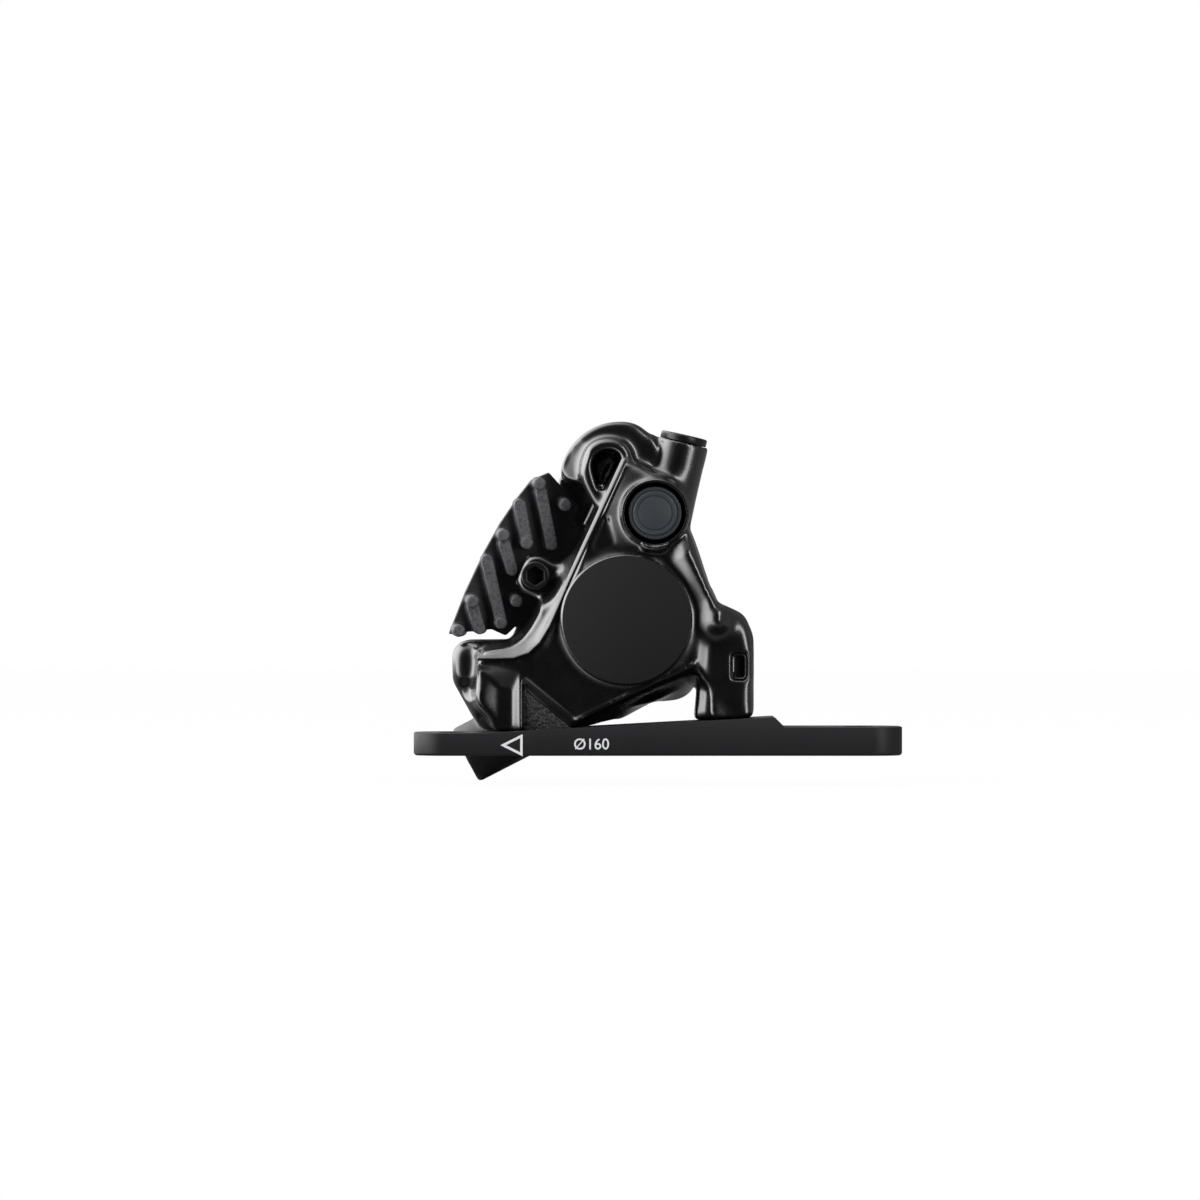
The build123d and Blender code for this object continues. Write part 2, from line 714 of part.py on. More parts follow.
def inner_piston():
    """Cup-shaped piston, open towards the pad."""
    end = piston_depth + piston_length
    body = bar(piston_depth, end, piston_radius)
    body = chamfer(body.edges().filter_by(GeomType.CIRCLE), piston_edge)
    cup = bar(piston_depth - overrun, end - piston_wall, piston_radius - piston_wall)
    return pad_frame * (body - cup)


def inner_seal():
    """Square-section seal in the bore's groove."""
    outside = bore_radius + seal_depth
    ring = bar(seal_start, seal_start + seal_width, outside)
    return pad_frame * (ring - bar(seal_start, seal_start + seal_width, piston_radius + running_fit))


def inner_friction():
    """Friction block of a pad, cut to the rotor's rim."""
    block = pad_box(-friction_reach, plate_reach, -friction_half_length, friction_half_length,
                    friction_depth, plate_depth)
    block = fillet(block.edges().filter_by(Axis.Z), friction_corner)
    rim = bar(friction_depth - overrun, plate_depth + overrun, rotor_radius - running_gap)
    return pad_frame * (block & Pos(-piston_to_axle, 0, 0) * rim)


def inner_plate():
    """Steel backing plate of a pad, with the ear that hangs on the axle."""
    main = pad_box(-plate_reach, plate_reach, -plate_half_length, plate_half_length, plate_depth, fin_depth)
    main = fillet(main.edges().filter_by(Axis.Z), plate_corner)
    low = axle_along - ear_half_width
    high = axle_along + ear_half_width
    ear = pad_box(0, ear_reach, low, high, plate_depth, fin_depth)
    ear = fillet(ear.edges().filter_by(Axis.Z), ear_corner)
    hole = bar(plate_depth - overrun, fin_depth + overrun, axle_radius + running_fit)
    return pad_frame * (main + ear - Pos(axle_reach, axle_along, 0) * hole)


def fin_rib(low, high, base_height):
    """One rib of the fin, round at both ends, standing on the fin's plate."""
    length = math.dist(low, high)
    angle = math.degrees(math.atan2(high[1] - low[1], high[0] - low[0]))
    middle = Pos((low[0] + high[0]) / 2, (low[1] + high[1]) / 2, base_height)
    return middle * Rot(0, 0, angle) * extrude(SlotCenterToCenter(length, rib_width), amount=rib_height)


def inner_fin():
    """Cooling fin bonded to the back of a pad: a flat part, and an outer part that splays away."""
    half = plate_half_length - fin_back_inset
    base_end = fin_depth + fin_base
    flat = pad_box(-plate_reach + fin_back_inset, fin_bend_reach, -half, half, fin_depth, base_end)
    points = [(reach * fin_reach, place * fin_half_length) for reach, place in fin_outline_shares]
    outline = make_face(Polyline(*points, close=True))
    splayed = Pos(0, 0, fin_depth) * extrude(outline, amount=fin_base)
    splayed += pad_box(fin_bend_reach, fin_root_reach, -half, half, fin_depth, base_end)
    top = base_end - fin_back_inset
    for reach_1, place_1, reach_2, place_2 in rib_shares:
        low = (reach_1 * fin_reach, place_1 * fin_half_length)
        high = (reach_2 * fin_reach, place_2 * fin_half_length)
        splayed += fin_rib(low, high, top)
    for reach, place in pin_shares:
        pin = bar(0, pin_height, pin_radius)
        pin = chamfer(pin.edges().group_by(Axis.Z)[-1], pin_edge)
        splayed += Pos(reach * fin_reach, place * fin_half_length, top) * pin
    bend = Axis(origin=(fin_bend_reach, 0, fin_depth), direction=(0, -1, 0))
    solid = flat + splayed.rotate(bend, fin_splay)
    window = pad_box(-axle_window_half, axle_window_half, -axle_window_half, axle_window_half, 0, front_depth)
    return pad_frame * (solid - Pos(axle_reach, axle_along, 0) * window)


def axle_screw():
    """Screw that the pads slide on, through both ears of the body."""
    head_start = lug_end_depth
    head_end = head_start + axle_head_height
    tail_end = lug_end_depth + clip_thickness + 2 * seat_gap + axle_tail
    shank = rod(axle_x, axle_z, outboard(head_start), inboard(tail_end), axle_radius)
    shank = chamfer(shank.edges().sort_by(Axis.Y)[-1], axle_chamfer)
    head = rod(axle_x, axle_z, outboard(head_end), outboard(head_start), axle_head_radius)
    head = soften(head, axle_chamfer, -1)
    plane = Plane(origin=(axle_x, outboard(head_end), axle_z), z_dir=(0, -1, 0))
    socket = plane * hex_bar(-axle_socket_depth, overrun, axle_socket_flats)
    groove_start = inboard(lug_end_depth + seat_gap)
    groove_end = groove_start + clip_thickness + seat_gap
    groove = rod(axle_x, axle_z, groove_start, groove_end, axle_radius)
    groove -= rod(axle_x, axle_z, groove_start, groove_end, axle_radius - groove_depth)
    return shank + head - socket - groove


def axle_clip():
    """Snap retainer on the axle's inboard end."""
    near = inboard(lug_end_depth + seat_gap)
    ring = rod(axle_x, axle_z, near, near + clip_thickness, clip_radius)
    ring -= rod(axle_x, axle_z, near, near + clip_thickness, axle_radius - groove_depth + running_fit)
    opening = Pos(axle_x, axle_z - clip_radius) * Rectangle(clip_mouth, 2 * clip_radius)
    mouth = slab(opening, near, near + clip_thickness)
    return ring - mouth


def pad_spring():
    """Leaf spring between the pads: an arched strip over the rotor's rim, leaves at its ends and an eye."""
    low = spring_leaf_reach - spring_thickness
    arch = Spline((low, -spring_half_length), (low + spring_rise, 0), (low, spring_half_length))
    strip_edge = arch + Line((low, spring_half_length), (spring_leaf_reach, spring_half_length))
    strip_edge += Spline((spring_leaf_reach, spring_half_length), (spring_leaf_reach + spring_rise, 0),
                         (spring_leaf_reach, -spring_half_length))
    strip_edge += Line((spring_leaf_reach, -spring_half_length), (low, -spring_half_length))
    strip = Pos(0, 0, -spring_half_width) * extrude(make_face(strip_edge), amount=2 * spring_half_width)
    solid = strip
    inner_side = spring_half_width - spring_thickness
    for side in (-1, 1):
        near, far = sorted([side * inner_side, side * spring_half_width])
        for end in (-1, 1):
            start, stop = sorted([end * spring_half_length, end * (spring_half_length - spring_leaf_width)])
            solid += pad_box(spring_leaf_reach - spring_leaf_drop, spring_leaf_reach, start, stop, near, far)
        tab = pad_box(low + spring_rise - spring_thickness, axle_reach, axle_along - spring_tab_half,
                      axle_along + spring_tab_half, near, far)
        tab += Pos(axle_reach, axle_along, 0) * bar(near, far, spring_tab_half)
        solid += tab - Pos(axle_reach, axle_along, 0) * bar(near, far, axle_radius + running_fit)
    return pad_frame * solid


def bleed_nipple():
    """Nipple in the boss that a bleed hose fits on."""
    x, z = boss_place
    body = rod(x, z, outboard(boss_bore_end + nipple_length), outboard(boss_bore_end), nipple_radius)
    body = soften(body, screw_edge, -1)
    root_end = outboard(boss_bore_end - nipple_root_length)
    root = rod(x, z, outboard(boss_bore_end), root_end, nipple_root_radius)
    bore = rod(x, z, outboard(boss_depth), root_end, nipple_bore)
    return body + root - bore


def nipple_cap():
    """Rubber plug over the nipple, with rings on its face."""
    x, z = boss_place
    face = boss_depth - plug_sink
    solid = rod(x, z, outboard(face), outboard(face - plug_length), plug_radius)
    solid = soften(solid, screw_edge, -1)
    bottom = outboard(face - plug_ring_depth)
    ring = rod(x, z, outboard(face + overrun), bottom, plug_ring_radius + plug_ring_width)
    solid -= ring - rod(x, z, outboard(face + overrun), bottom, plug_ring_radius)
    core = rod(x, z, outboard(face + overrun), bottom, plug_core_radius + plug_ring_width)
    solid -= core - rod(x, z, outboard(face + overrun), bottom, plug_core_radius)
    mouth = outboard(face - plug_length - overrun)
    end = outboard(boss_bore_end + nipple_length + seat_gap)
    return solid - rod(x, z, end, mouth, nipple_radius + running_fit)


def bleed_screw():
    """Screw in the upper tube, with a flat round head and a cone that seals the passage."""
    head = bar(seat_gap, screw_head_height, screw_head_radius)
    head = fillet(head.edges().group_by(Axis.Z)[-1], screw_edge)
    shank = bar(-screw_length, seat_gap, screw_radius)
    tip = Pos(0, 0, -screw_length - screw_tip / 2) * Cone(screw_radius / 2, screw_radius, screw_tip)
    socket = hex_bar(screw_head_height - screw_socket_depth, screw_head_height + overrun, screw_socket_flats)
    return tube_plane * (head + shank + tip - socket)


def bleed_ring():
    """Rubber ring under the bleed screw's head."""
    place = Pos(0, 0, -o_ring_wire)
    return tube_plane * place * Torus(screw_radius + running_fit + o_ring_wire, o_ring_wire - seat_gap)


def mount_bracket():
    """Adapter between the caliper and the fork, with a sloped top, lateral slots and counterbored holes."""
    half = adapter_length / 2
    step_x = adapter_ramp_right + adapter_step_run
    profile = make_face(Polyline(
        (-half, 0), (half, 0), (half, adapter_tail_height), (step_x, adapter_tail_height),
        (adapter_ramp_right, ramp_height(adapter_ramp_right)), (adapter_ramp_left, adapter_end_height),
        (-half, adapter_end_height), close=True,
    ))
    side = adapter_width / 2
    solid = slab(profile, -side, side)
    plan = extrude(RectangleRounded(adapter_length, adapter_width, adapter_corner), amount=body_height)
    solid = solid & plan
    solid = chamfer(solid.faces().sort_by(Axis.Z)[0].edges(), adapter_edge)
    slot_width = 2 * (fork_bolt_radius + fork_slot_clearance)
    for end in (-1, 1):
        slot = SlotCenterToCenter(fork_slot_travel, slot_width, rotation=quarter_turn)
        solid -= Pos(end * fork_bolt_pitch / 2, 0) * extrude(slot, amount=body_height)
    for column_x in column_places:
        hole = bar(-overrun, body_height, bracket_screw_radius + bracket_screw_clearance)
        seat_end = bracket_head_sink + bracket_head_height
        seat = bar(-overrun, seat_end, bracket_head_radius + bracket_screw_clearance)
        solid -= column_plane(column_x) * (hole + seat)
    return solid


def bracket_screws():
    """The two screws from below, through the adapter into the legs."""
    screws = []
    for column_x in column_places:
        head_end = bracket_head_sink + bracket_head_height
        head = bar(bracket_head_sink, head_end, bracket_head_radius)
        head = fillet(head.edges().group_by(Axis.Z)[0], screw_edge)
        shank = bar(bracket_head_sink, head_end + bracket_screw_reach, bracket_screw_radius)
        socket = hex_bar(0, bracket_head_sink + bracket_socket_depth, bracket_socket_flats)
        screws.append(column_plane(column_x) * (head + shank - socket))
    return Compound(children=screws)


inner_pad_pieces = {
    "piston": inner_piston(),
    "piston_seal": inner_seal(),
    "pad_friction": inner_friction(),
    "pad_plate": inner_plate(),
    "pad_fin": inner_fin(),
}
nodes = {
    "outer_body": outer_body(),
    "inner_body": inner_body(),
    "body_bolts": clamp_screws(),
    "transfer_o_ring": transfer_ring(),
    "pad_axle": axle_screw(),
    "pad_axle_clip": axle_clip(),
    "pad_spring": pad_spring(),
    "bleed_nipple": bleed_nipple(),
    "bleed_nipple_cap": nipple_cap(),
    "bleed_screw": bleed_screw(),
    "bleed_screw_o_ring": bleed_ring(),
    "mount_bracket": mount_bracket(),
    "bracket_bolts": bracket_screws(),
}
for name, piece in inner_pad_pieces.items():
    nodes["inner_" + name] = piece
    nodes["outer_" + name] = outer_twin(piece)

os.makedirs("parts", exist_ok=True)
for name, piece in nodes.items():
    export_step(piece, "parts/" + name + ".step")
    print(name, round(piece.volume), "mm3")
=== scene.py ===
"""Looks of a hydraulic disc brake caliper for a road bicycle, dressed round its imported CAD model.

Places are pairs of X and Z in millimetres. Depths are Y, which grows from the near side towards the rotor.
"""
import logging
import math
from dataclasses import dataclass
from enum import Enum
from typing import Any

import bmesh
import bpy
import numpy as np
from mathutils import Matrix, Vector


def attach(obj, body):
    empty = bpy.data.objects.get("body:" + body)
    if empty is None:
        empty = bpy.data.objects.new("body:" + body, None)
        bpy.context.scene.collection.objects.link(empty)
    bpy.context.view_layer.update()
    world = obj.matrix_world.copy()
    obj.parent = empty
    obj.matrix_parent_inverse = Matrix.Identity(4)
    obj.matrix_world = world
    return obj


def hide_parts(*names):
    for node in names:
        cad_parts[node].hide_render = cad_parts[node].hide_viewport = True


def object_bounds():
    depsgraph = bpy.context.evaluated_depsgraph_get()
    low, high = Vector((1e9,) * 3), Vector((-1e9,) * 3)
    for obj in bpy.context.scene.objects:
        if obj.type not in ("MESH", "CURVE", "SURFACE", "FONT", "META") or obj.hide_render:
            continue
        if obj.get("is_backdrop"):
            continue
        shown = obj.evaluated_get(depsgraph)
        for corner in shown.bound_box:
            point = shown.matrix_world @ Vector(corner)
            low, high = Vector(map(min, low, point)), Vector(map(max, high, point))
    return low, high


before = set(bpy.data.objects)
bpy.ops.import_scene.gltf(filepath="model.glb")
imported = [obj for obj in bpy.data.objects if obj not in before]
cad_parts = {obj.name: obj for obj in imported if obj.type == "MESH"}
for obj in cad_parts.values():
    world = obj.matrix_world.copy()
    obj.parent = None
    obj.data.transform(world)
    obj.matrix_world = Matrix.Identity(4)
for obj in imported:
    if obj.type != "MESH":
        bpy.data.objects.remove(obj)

Place = tuple[float, float]
Line = tuple[Place, ...]
Circle = tuple[Place, float]

MM = 0.001
CALIPER = "caliper"
# Corners closer than this, in millimetres, are one.
WELD = 0.001
# Faces that meet at less than the first angle, in degrees, are one face, and at more than the second they
# make a sharp edge.
FLAT_ANGLE = 1
SHARP_ANGLE = 30
# Y of the body's near face, of the round face and the boss that stand out of it, and of the rotor's middle.
FRONT_FACE = -5.5
RAISED_FACE = -6.5
ROTOR_PLANE = 13.5
PISTON_CENTRE = (-5.44, 23.3)
BOSS_CENTRE = (-0.51, 41.61)

log = logging.getLogger("caliper")


class Side(Enum):
    """The two sides of the rotor."""

    OUTBOARD = "outer"
    INBOARD = "inner"


def linear(code: str) -> tuple[float, float, float, float]:
    """Turn an sRGB hex colour into the linear colour that shaders take.

    Args:
        code: Six hex digits after a hash sign.

    Returns:
        Linear red, green and blue, and an alpha of one.
    """
    parts = [int(code[i:i + 2], 16) / 255 for i in (1, 3, 5)]
    red, green, blue = [p / 12.92 if p <= 0.04045 else ((p + 0.055) / 1.055) ** 2.4 for p in parts]
    return red, green, blue, 1.0


def grey(level: float) -> tuple[float, float, float, float]:
    """Linear grey of a level between zero and one."""
    return level, level, level, 1.0


def add_node(tree: bpy.types.NodeTree, kind: str, settings: dict[str, Any] | None = None,
             values: dict[Any, Any] | None = None, links: dict[Any, Any] | None = None) -> bpy.types.Node:
    """Add one node to a tree, with its settings, socket values and links.

    Args:
        tree: Node tree of a material or world.
        kind: Blender's name for the type of node.
        settings: Attributes of the node.
        values: Values of input sockets, by name or index.
        links: Output sockets to link from, by the name or index of the input socket.

    Returns:
        The new node.
    """
    node = tree.nodes.new(kind)
    for key, value in (settings or {}).items():
        setattr(node, key, value)
    for key, value in (values or {}).items():
        node.inputs[key].default_value = value
    for key, socket in (links or {}).items():
        tree.links.new(socket, node.inputs[key])
    return node


def spots(size: float) -> dict[str, float]:
    """Values of a noise whose spots are about as wide as a size in millimetres."""
    return {"Scale": 1 / (size * MM), "Detail": 3.0}


@dataclass(frozen=True)
class Finish:
    """A surface: its colour, gloss and the fine relief that its making leaves.

    Attributes:
        name: What the material is and how it was made.
        slot: Material slot of the record; not used.
        colour: One of the two tones that it drifts between, as sRGB.
        second: The other tone.
        roughness: Roughness in the middle of its spread.
        metallic: One for bare metal.
        ior: Index of refraction.
        coat: Weight of a clear coat.
        coat_roughness: Roughness of that coat.
        grain: Width of the relief's bumps in millimetres.
        depth: Their height in millimetres.
        patch: Width of the patches of colour in millimetres.
        rough_spread: How far the roughness goes from its lowest to its highest.
    """

    name: str
    slot: str
    colour: str
    second: str
    roughness: float
    metallic: float = 0.0
    ior: float = 1.5
    coat: float = 0.0
    coat_roughness: float = 0.1
    grain: float = 0.6
    depth: float = 0.02
    patch: float = 6.0
    rough_spread: float = 0.08

    def material(self) -> bpy.types.Material:
        """Build the material once, and give the same one after that.

        Returns:
            The finish's material.
        """
        known = bpy.data.materials.get(self.name)
        if known is not None:
            return known
        made = bpy.data.materials.new(self.name)
        made.use_nodes = True
        tree = made.node_tree
        tree.nodes.clear()
        place = add_node(tree, "ShaderNodeTexCoord").outputs["Object"]
        values = {
            "Metallic": self.metallic,
            "IOR": self.ior,
            "Coat Weight": self.coat,
            "Coat Roughness": self.coat_roughness,
        }
        links = {
            "Base Color": self.tint(tree, place),
            "Roughness": self.gloss(tree, place),
            "Normal": self.relief(tree, place),
        }
        shader = add_node(tree, "ShaderNodeBsdfPrincipled", values=values, links=links)
        add_node(tree, "ShaderNodeOutputMaterial", links={"Surface": shader.outputs["BSDF"]})
        return made

    def tint(self, tree: bpy.types.NodeTree, place: bpy.types.NodeSocket) -> bpy.types.NodeSocket:
        """Add the colour, which drifts between the finish's two tones in soft patches.

        Args:
            tree: Node tree of the material.
            place: Socket with the place on the piece.

        Returns:
            Socket with the colour.
        """
        patches = add_node(tree, "ShaderNodeTexNoise", values=spots(self.patch), links={"Vector": place})
        tones = add_node(tree, "ShaderNodeMix", {"data_type": "RGBA"},
                         {"A": linear(self.colour), "B": linear(self.second)},
                         {"Factor": patches.outputs["Fac"]})
        return tones.outputs[2]

    def gloss(self, tree: bpy.types.NodeTree, place: bpy.types.NodeSocket) -> bpy.types.NodeSocket:
        """Add the roughness, which varies a little over the surface.

        Args:
            tree: Node tree of the material.
            place: Socket with the place on the piece.

        Returns:
            Socket with the roughness.
        """
        patches = add_node(tree, "ShaderNodeTexNoise", values=spots(self.patch / 2), links={"Vector": place})
        low, high = self.roughness - self.rough_spread / 2, self.roughness + self.rough_spread / 2
        spread = add_node(tree, "ShaderNodeMapRange", values={"To Min": low, "To Max": high},
                          links={"Value": patches.outputs["Fac"]})
        return spread.outputs["Result"]

    def relief(self, tree: bpy.types.NodeTree, place: bpy.types.NodeSocket) -> bpy.types.NodeSocket:
        """Add the bumps of the finish's grain and depth.

        Args:
            tree: Node tree of the material.
            place: Socket with the place on the piece.

        Returns:
            Socket with the normal.
        """
        grains = add_node(tree, "ShaderNodeTexNoise", values=spots(self.grain), links={"Vector": place})
        bump = add_node(tree, "ShaderNodeBump", values={"Distance": self.depth * MM, "Strength": 1.0},
                        links={"Height": grains.outputs["Fac"]})
        return bump.outputs["Normal"]


@dataclass(frozen=True)
class RibFinish(Finish):
    """A coating painted lighter on the rib tops that the mesh's "tops" attribute marks: painted light on the
    tops and painted shade at the ribs' feet, with a little wear.

    Attributes:
        lit_and_worn_top_colour: Tone of the tops.
        lit_and_worn_least: Share of that tone where the grain is lowest.
        lit_and_worn_most: Share of it where the grain is highest.
    """

    lit_and_worn_top_colour: str = "#4a4a4d"
    lit_and_worn_least: float = 0.45
    lit_and_worn_most: float = 1.35

    def tint(self, tree: bpy.types.NodeTree, place: bpy.types.NodeSocket) -> bpy.types.NodeSocket:
        """Add the patchy colour, with the rib tops painted lighter: painted light, with a little wear.

        Args:
            tree: Node tree of the material.
            place: Socket with the place on the piece.

        Returns:
            Socket with the colour.
        """
        # Painted light: the higher a corner stands over the plate, the lighter its tone, made patchy by the
        # grain.
        tops = add_node(tree, "ShaderNodeAttribute", {"attribute_name": "tops"}).outputs["Fac"]
        grains = add_node(tree, "ShaderNodeTexNoise", values=spots(self.grain), links={"Vector": place})
        lit_and_worn = add_node(tree, "ShaderNodeMapRange",
                        values={"From Min": 0.35, "From Max": 0.65,
                                "To Min": self.lit_and_worn_least, "To Max": self.lit_and_worn_most},
                        links={"Value": grains.outputs["Fac"]})
        share = add_node(tree, "ShaderNodeMath", {"operation": "MULTIPLY", "use_clamp": True},
                         links={0: tops, 1: lit_and_worn.outputs["Result"]})
        both = add_node(tree, "ShaderNodeMix", {"data_type": "RGBA"}, {"B": linear(self.lit_and_worn_top_colour)},
                        {"Factor": share.outputs[0], "A": super().tint(tree, place)})
        return both.outputs[2]


# Baked enamel on forged aluminium: deep black, wet gloss, with a faint orange peel.
ENAMEL = Finish("gloss_black_enamel", "body_gloss_black", "#030304", "#050506", roughness=0.27, ior=1.6,
                coat=0.3, coat_roughness=0.16, grain=1.6, depth=0.003)
# A duller satin copy of the same enamel, without its coat, on the half behind the rotor and the lip under the
# bridge: painted shade for the shadow that falls there.
SHADE_DULLED_ENAMEL = Finish("shade_dulled_black_enamel", "body_gloss_black", "#070708", "#0b0b0c", roughness=0.45,
                      ior=1.45, grain=1.2, depth=0.004)
# The same aluminium under matte paint, blasted first: a fine even grain.
DISC_PAINT = Finish("matte_black_paint", "body_gloss_black", "#080809", "#0b0b0c", roughness=0.75,
                    ior=1.3, grain=0.35, depth=0.012)
# The forging's own skin under one thin coat: black, coarse, glittering in the side light.
CAST_SKIN = Finish("coated_forging_skin", "body_gloss_black", "#0a0a0b", "#121214", roughness=0.4,
                   grain=0.55, depth=0.3, patch=0.6)
# Hard-anodised machined aluminium: charcoal, even and dull.
ANODISED = Finish("black_anodised_aluminium", "bracket_matte_black", "#111113", "#151517", roughness=0.5,
                  ior=1.3, grain=0.4, depth=0.01)
# Die-cast aluminium with a thin matte coating: grey-black, with a coarse cast skin, and rib tops painted
# lighter: painted light and shade, with a little wear.
CAST_FIN = RibFinish("coated_cast_aluminium", "fin_grey", "#101012", "#18181a", roughness=0.5, ior=1.35,
                     grain=0.5, depth=0.07)
# Black-oxide steel of screws and the pad axle: dark, oiled, with a soft shine.
OXIDE_STEEL = Finish("black_oxide_steel", "black_steel", "#0b0b0c", "#111112", roughness=0.34, metallic=0.4,
                     grain=0.5, depth=0.006)
# Turned stainless steel of the nipple and the axle's clip: bright, slightly satin.
BRIGHT_STEEL = Finish("stainless_steel", "bright_steel", "#a9abad", "#b6b7b8", roughness=0.3, metallic=1.0,
                      grain=0.4, depth=0.004)
# Hardened strip steel, stamped and bent: dark grey and dull.
SPRING_STEEL = Finish("spring_steel", "bright_steel", "#343436", "#3d3d3f", roughness=0.5, metallic=1.0,
                      grain=0.4, depth=0.004)
# Galvanised steel plate, stamped: light grey with faint patches.
PLATE_STEEL = Finish("galvanised_steel_plate", "plate_steel", "#7c7d80", "#8c8d8f", roughness=0.42,
                     metallic=1.0, grain=0.9, depth=0.01)
# Friction compound, pressed and cured: brown-grey resin with metal specks.
FRICTION = Finish("resin_friction_compound", "friction_resin", "#3b332d", "#5a5049", roughness=0.85,
                  grain=0.5, depth=0.06, patch=0.9)
# Moulded phenolic resin, ground on its outside: dark brown with a low shine.
PISTON = Finish("phenolic_resin", "piston_resin", "#2a2622", "#332e29", roughness=0.4, grain=0.8, depth=0.008)
# Moulded nitrile rubber: black and dull.
SEAL = Finish("nitrile_rubber", "seal_rubber", "#121212", "#181818", roughness=0.6, grain=0.5, depth=0.01)
# Moulded rubber from a smooth tool: slate grey with a soft shine.
PLUG = Finish("moulded_rubber_plug", "plug_rubber", "#1e2226", "#252a2f", roughness=0.45, grain=0.5,
              depth=0.006)
# Pad-printed ink: light grey and matte.
PRINT = Finish("printed_marks", "bracket_matte_black", "#b9babb", "#c4c5c6", roughness=0.55, grain=0.3,
               depth=0.004)


def merged(node: str) -> bmesh.types.BMesh:
    """Take a copy of a CAD solid's mesh with its doubled corners joined.

    Args:
        node: Name of the CAD node.

    Returns:
        The copy, which the caller frees.
    """
    shape = bmesh.new()
    shape.from_mesh(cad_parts[node].data)
    bmesh.ops.remove_doubles(shape, verts=shape.verts, dist=WELD * MM)
    return shape


def shown(shape: bmesh.types.BMesh, name: str) -> bpy.types.Object:
    """Put a shape in the scene.

    Args:
        shape: The shape, which is freed here.
        name: Name of the object.

    Returns:
        The new object.
    """
    mesh = bpy.data.meshes.new(name)
    shape.to_mesh(mesh)
    shape.free()
    piece = bpy.data.objects.new(name, mesh)
    bpy.context.scene.collection.objects.link(piece)
    return piece


def dress(piece: bpy.types.Object, finish: Finish) -> None:
    """Give a piece its finish and no other."""
    piece.data.materials.clear()
    piece.data.materials.append(finish.material())


def seat(piece: bpy.types.Object, finish: Finish, body: str, node: str = "") -> bpy.types.Object:
    """Dress a piece and let it move with its body.

    Args:
        piece: The piece.
        finish: Its surface.
        body: Body that carries it.
        node: CAD node whose place it takes, if any.

    Returns:
        The same piece.
    """
    dress(piece, finish)
    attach(piece, body)
    if node:
        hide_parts(node)
        dress(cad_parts[node], finish)
    return piece


def crisp_piece(shape: bmesh.types.BMesh, name: str, finish: Finish, body: str = CALIPER,
                node: str = "") -> bpy.types.Object:
    """Make a piece of a finished shape, smooth but for its sharp edges.

    Args:
        shape: The shape, which is freed here.
        name: Name of the piece.
        finish: Its surface.
        body: Body that carries it.
        node: CAD node whose place it takes, if any.

    Returns:
        The new piece.
    """
    bmesh.ops.recalc_face_normals(shape, faces=shape.faces)
    piece = shown(shape, name)
    piece.data.shade_smooth()
    piece.data.set_sharp_from_angle(angle=math.radians(SHARP_ANGLE))
    return seat(piece, finish, body, node)


def break_edges(shape: bmesh.types.BMesh, edges: list[bmesh.types.BMEdge], width: float, steps: int = 2,
                clamp: bool = False) -> None:
    """Round edges off with a small bevel.

    Args:
        shape: The shape.
        edges: The edges to break.
        width: Width of the bevel in millimetres.
        steps: Number of faces across it.
        clamp: Whether bevels that would meet are kept narrower.
    """
    bmesh.ops.bevel(shape, geom=edges, offset=width * MM, segments=steps, profile=0.5, affect="EDGES",
                    material=-1, clamp_overlap=clamp)


def flat_face(shape: bmesh.types.BMesh, outline: Line, depth: float) -> bmesh.types.BMFace:
    """Add a flat face that looks along Y.

    Args:
        shape: The shape.
        outline: Corners of the face.
        depth: Y of the face in millimetres.

    Returns:
        The new face.
    """
    face = shape.faces.new([shape.verts.new(Vector((x, depth, z)) * MM) for x, z in outline])
    face.normal_update()
    return face


def bake(piece: bpy.types.Object) -> None:
    """Turn a piece's modifiers into its mesh.

    Args:
        piece: Mesh object with live modifiers.
    """
    finished = piece.evaluated_get(bpy.context.evaluated_depsgraph_get())
    mesh = bpy.data.meshes.new_from_object(finished)
    piece.modifiers.clear()
    piece.data = mesh


def corners(mesh: bpy.types.Mesh) -> np.ndarray:
    """Read the places of a mesh's corners.

    Args:
        mesh: The mesh.

    Returns:
        X, Y and Z of each corner, in millimetres.
    """
    points = np.empty(3 * len(mesh.vertices))
    mesh.vertices.foreach_get("co", points)
    return points.reshape(-1, 3) / MM


def move_corners(mesh: bpy.types.Mesh, points: np.ndarray) -> None:
    """Put a mesh's corners at new places.

    Args:
        mesh: The mesh.
        points: X, Y and Z of each corner, in millimetres.
    """
    mesh.vertices.foreach_set("co", (points * MM).ravel())
    mesh.update()


def eased(share: np.ndarray) -> np.ndarray:
    """Shares between zero and one, with a soft start and end."""
    return share ** 2 * (3 - 2 * share)


def centre_distance(places: np.ndarray, centre: Place) -> np.ndarray:
    """Distance of each place from a centre, in millimetres."""
    return np.linalg.norm(places - np.array(centre), axis=1)


def line_distance(places: np.ndarray, line: Line) -> tuple[np.ndarray, np.ndarray, np.ndarray]:
    """Measure how far places lie from a line of straight runs, and where along it.

    Args:
        places: X and Z of each place, in millimetres.
        line: Corners of the line.

    Returns:
        The distances, the share of the line's corners passed at each nearest point, and which places lie to
        the right of the line as it runs.
    """
    best = np.full(len(places), np.inf)
    along = np.zeros(len(places))
    right = np.zeros(len(places), bool)
    for index, (start, end) in enumerate(zip(line, line[1:])):
        first, run = np.array(start), np.array(end) - np.array(start)
        offset = places - first
        share = np.clip(offset @ run / (run @ run), 0, 1)
        distance = np.linalg.norm(offset - share[:, None] * run, axis=1)
        nearer = distance < best
        best = np.where(nearer, distance, best)
        along = np.where(nearer, (index + share) / (len(line) - 1), along)
        right = np.where(nearer, run[0] * offset[:, 1] - run[1] * offset[:, 0] < 0, right)
    return best, along, right


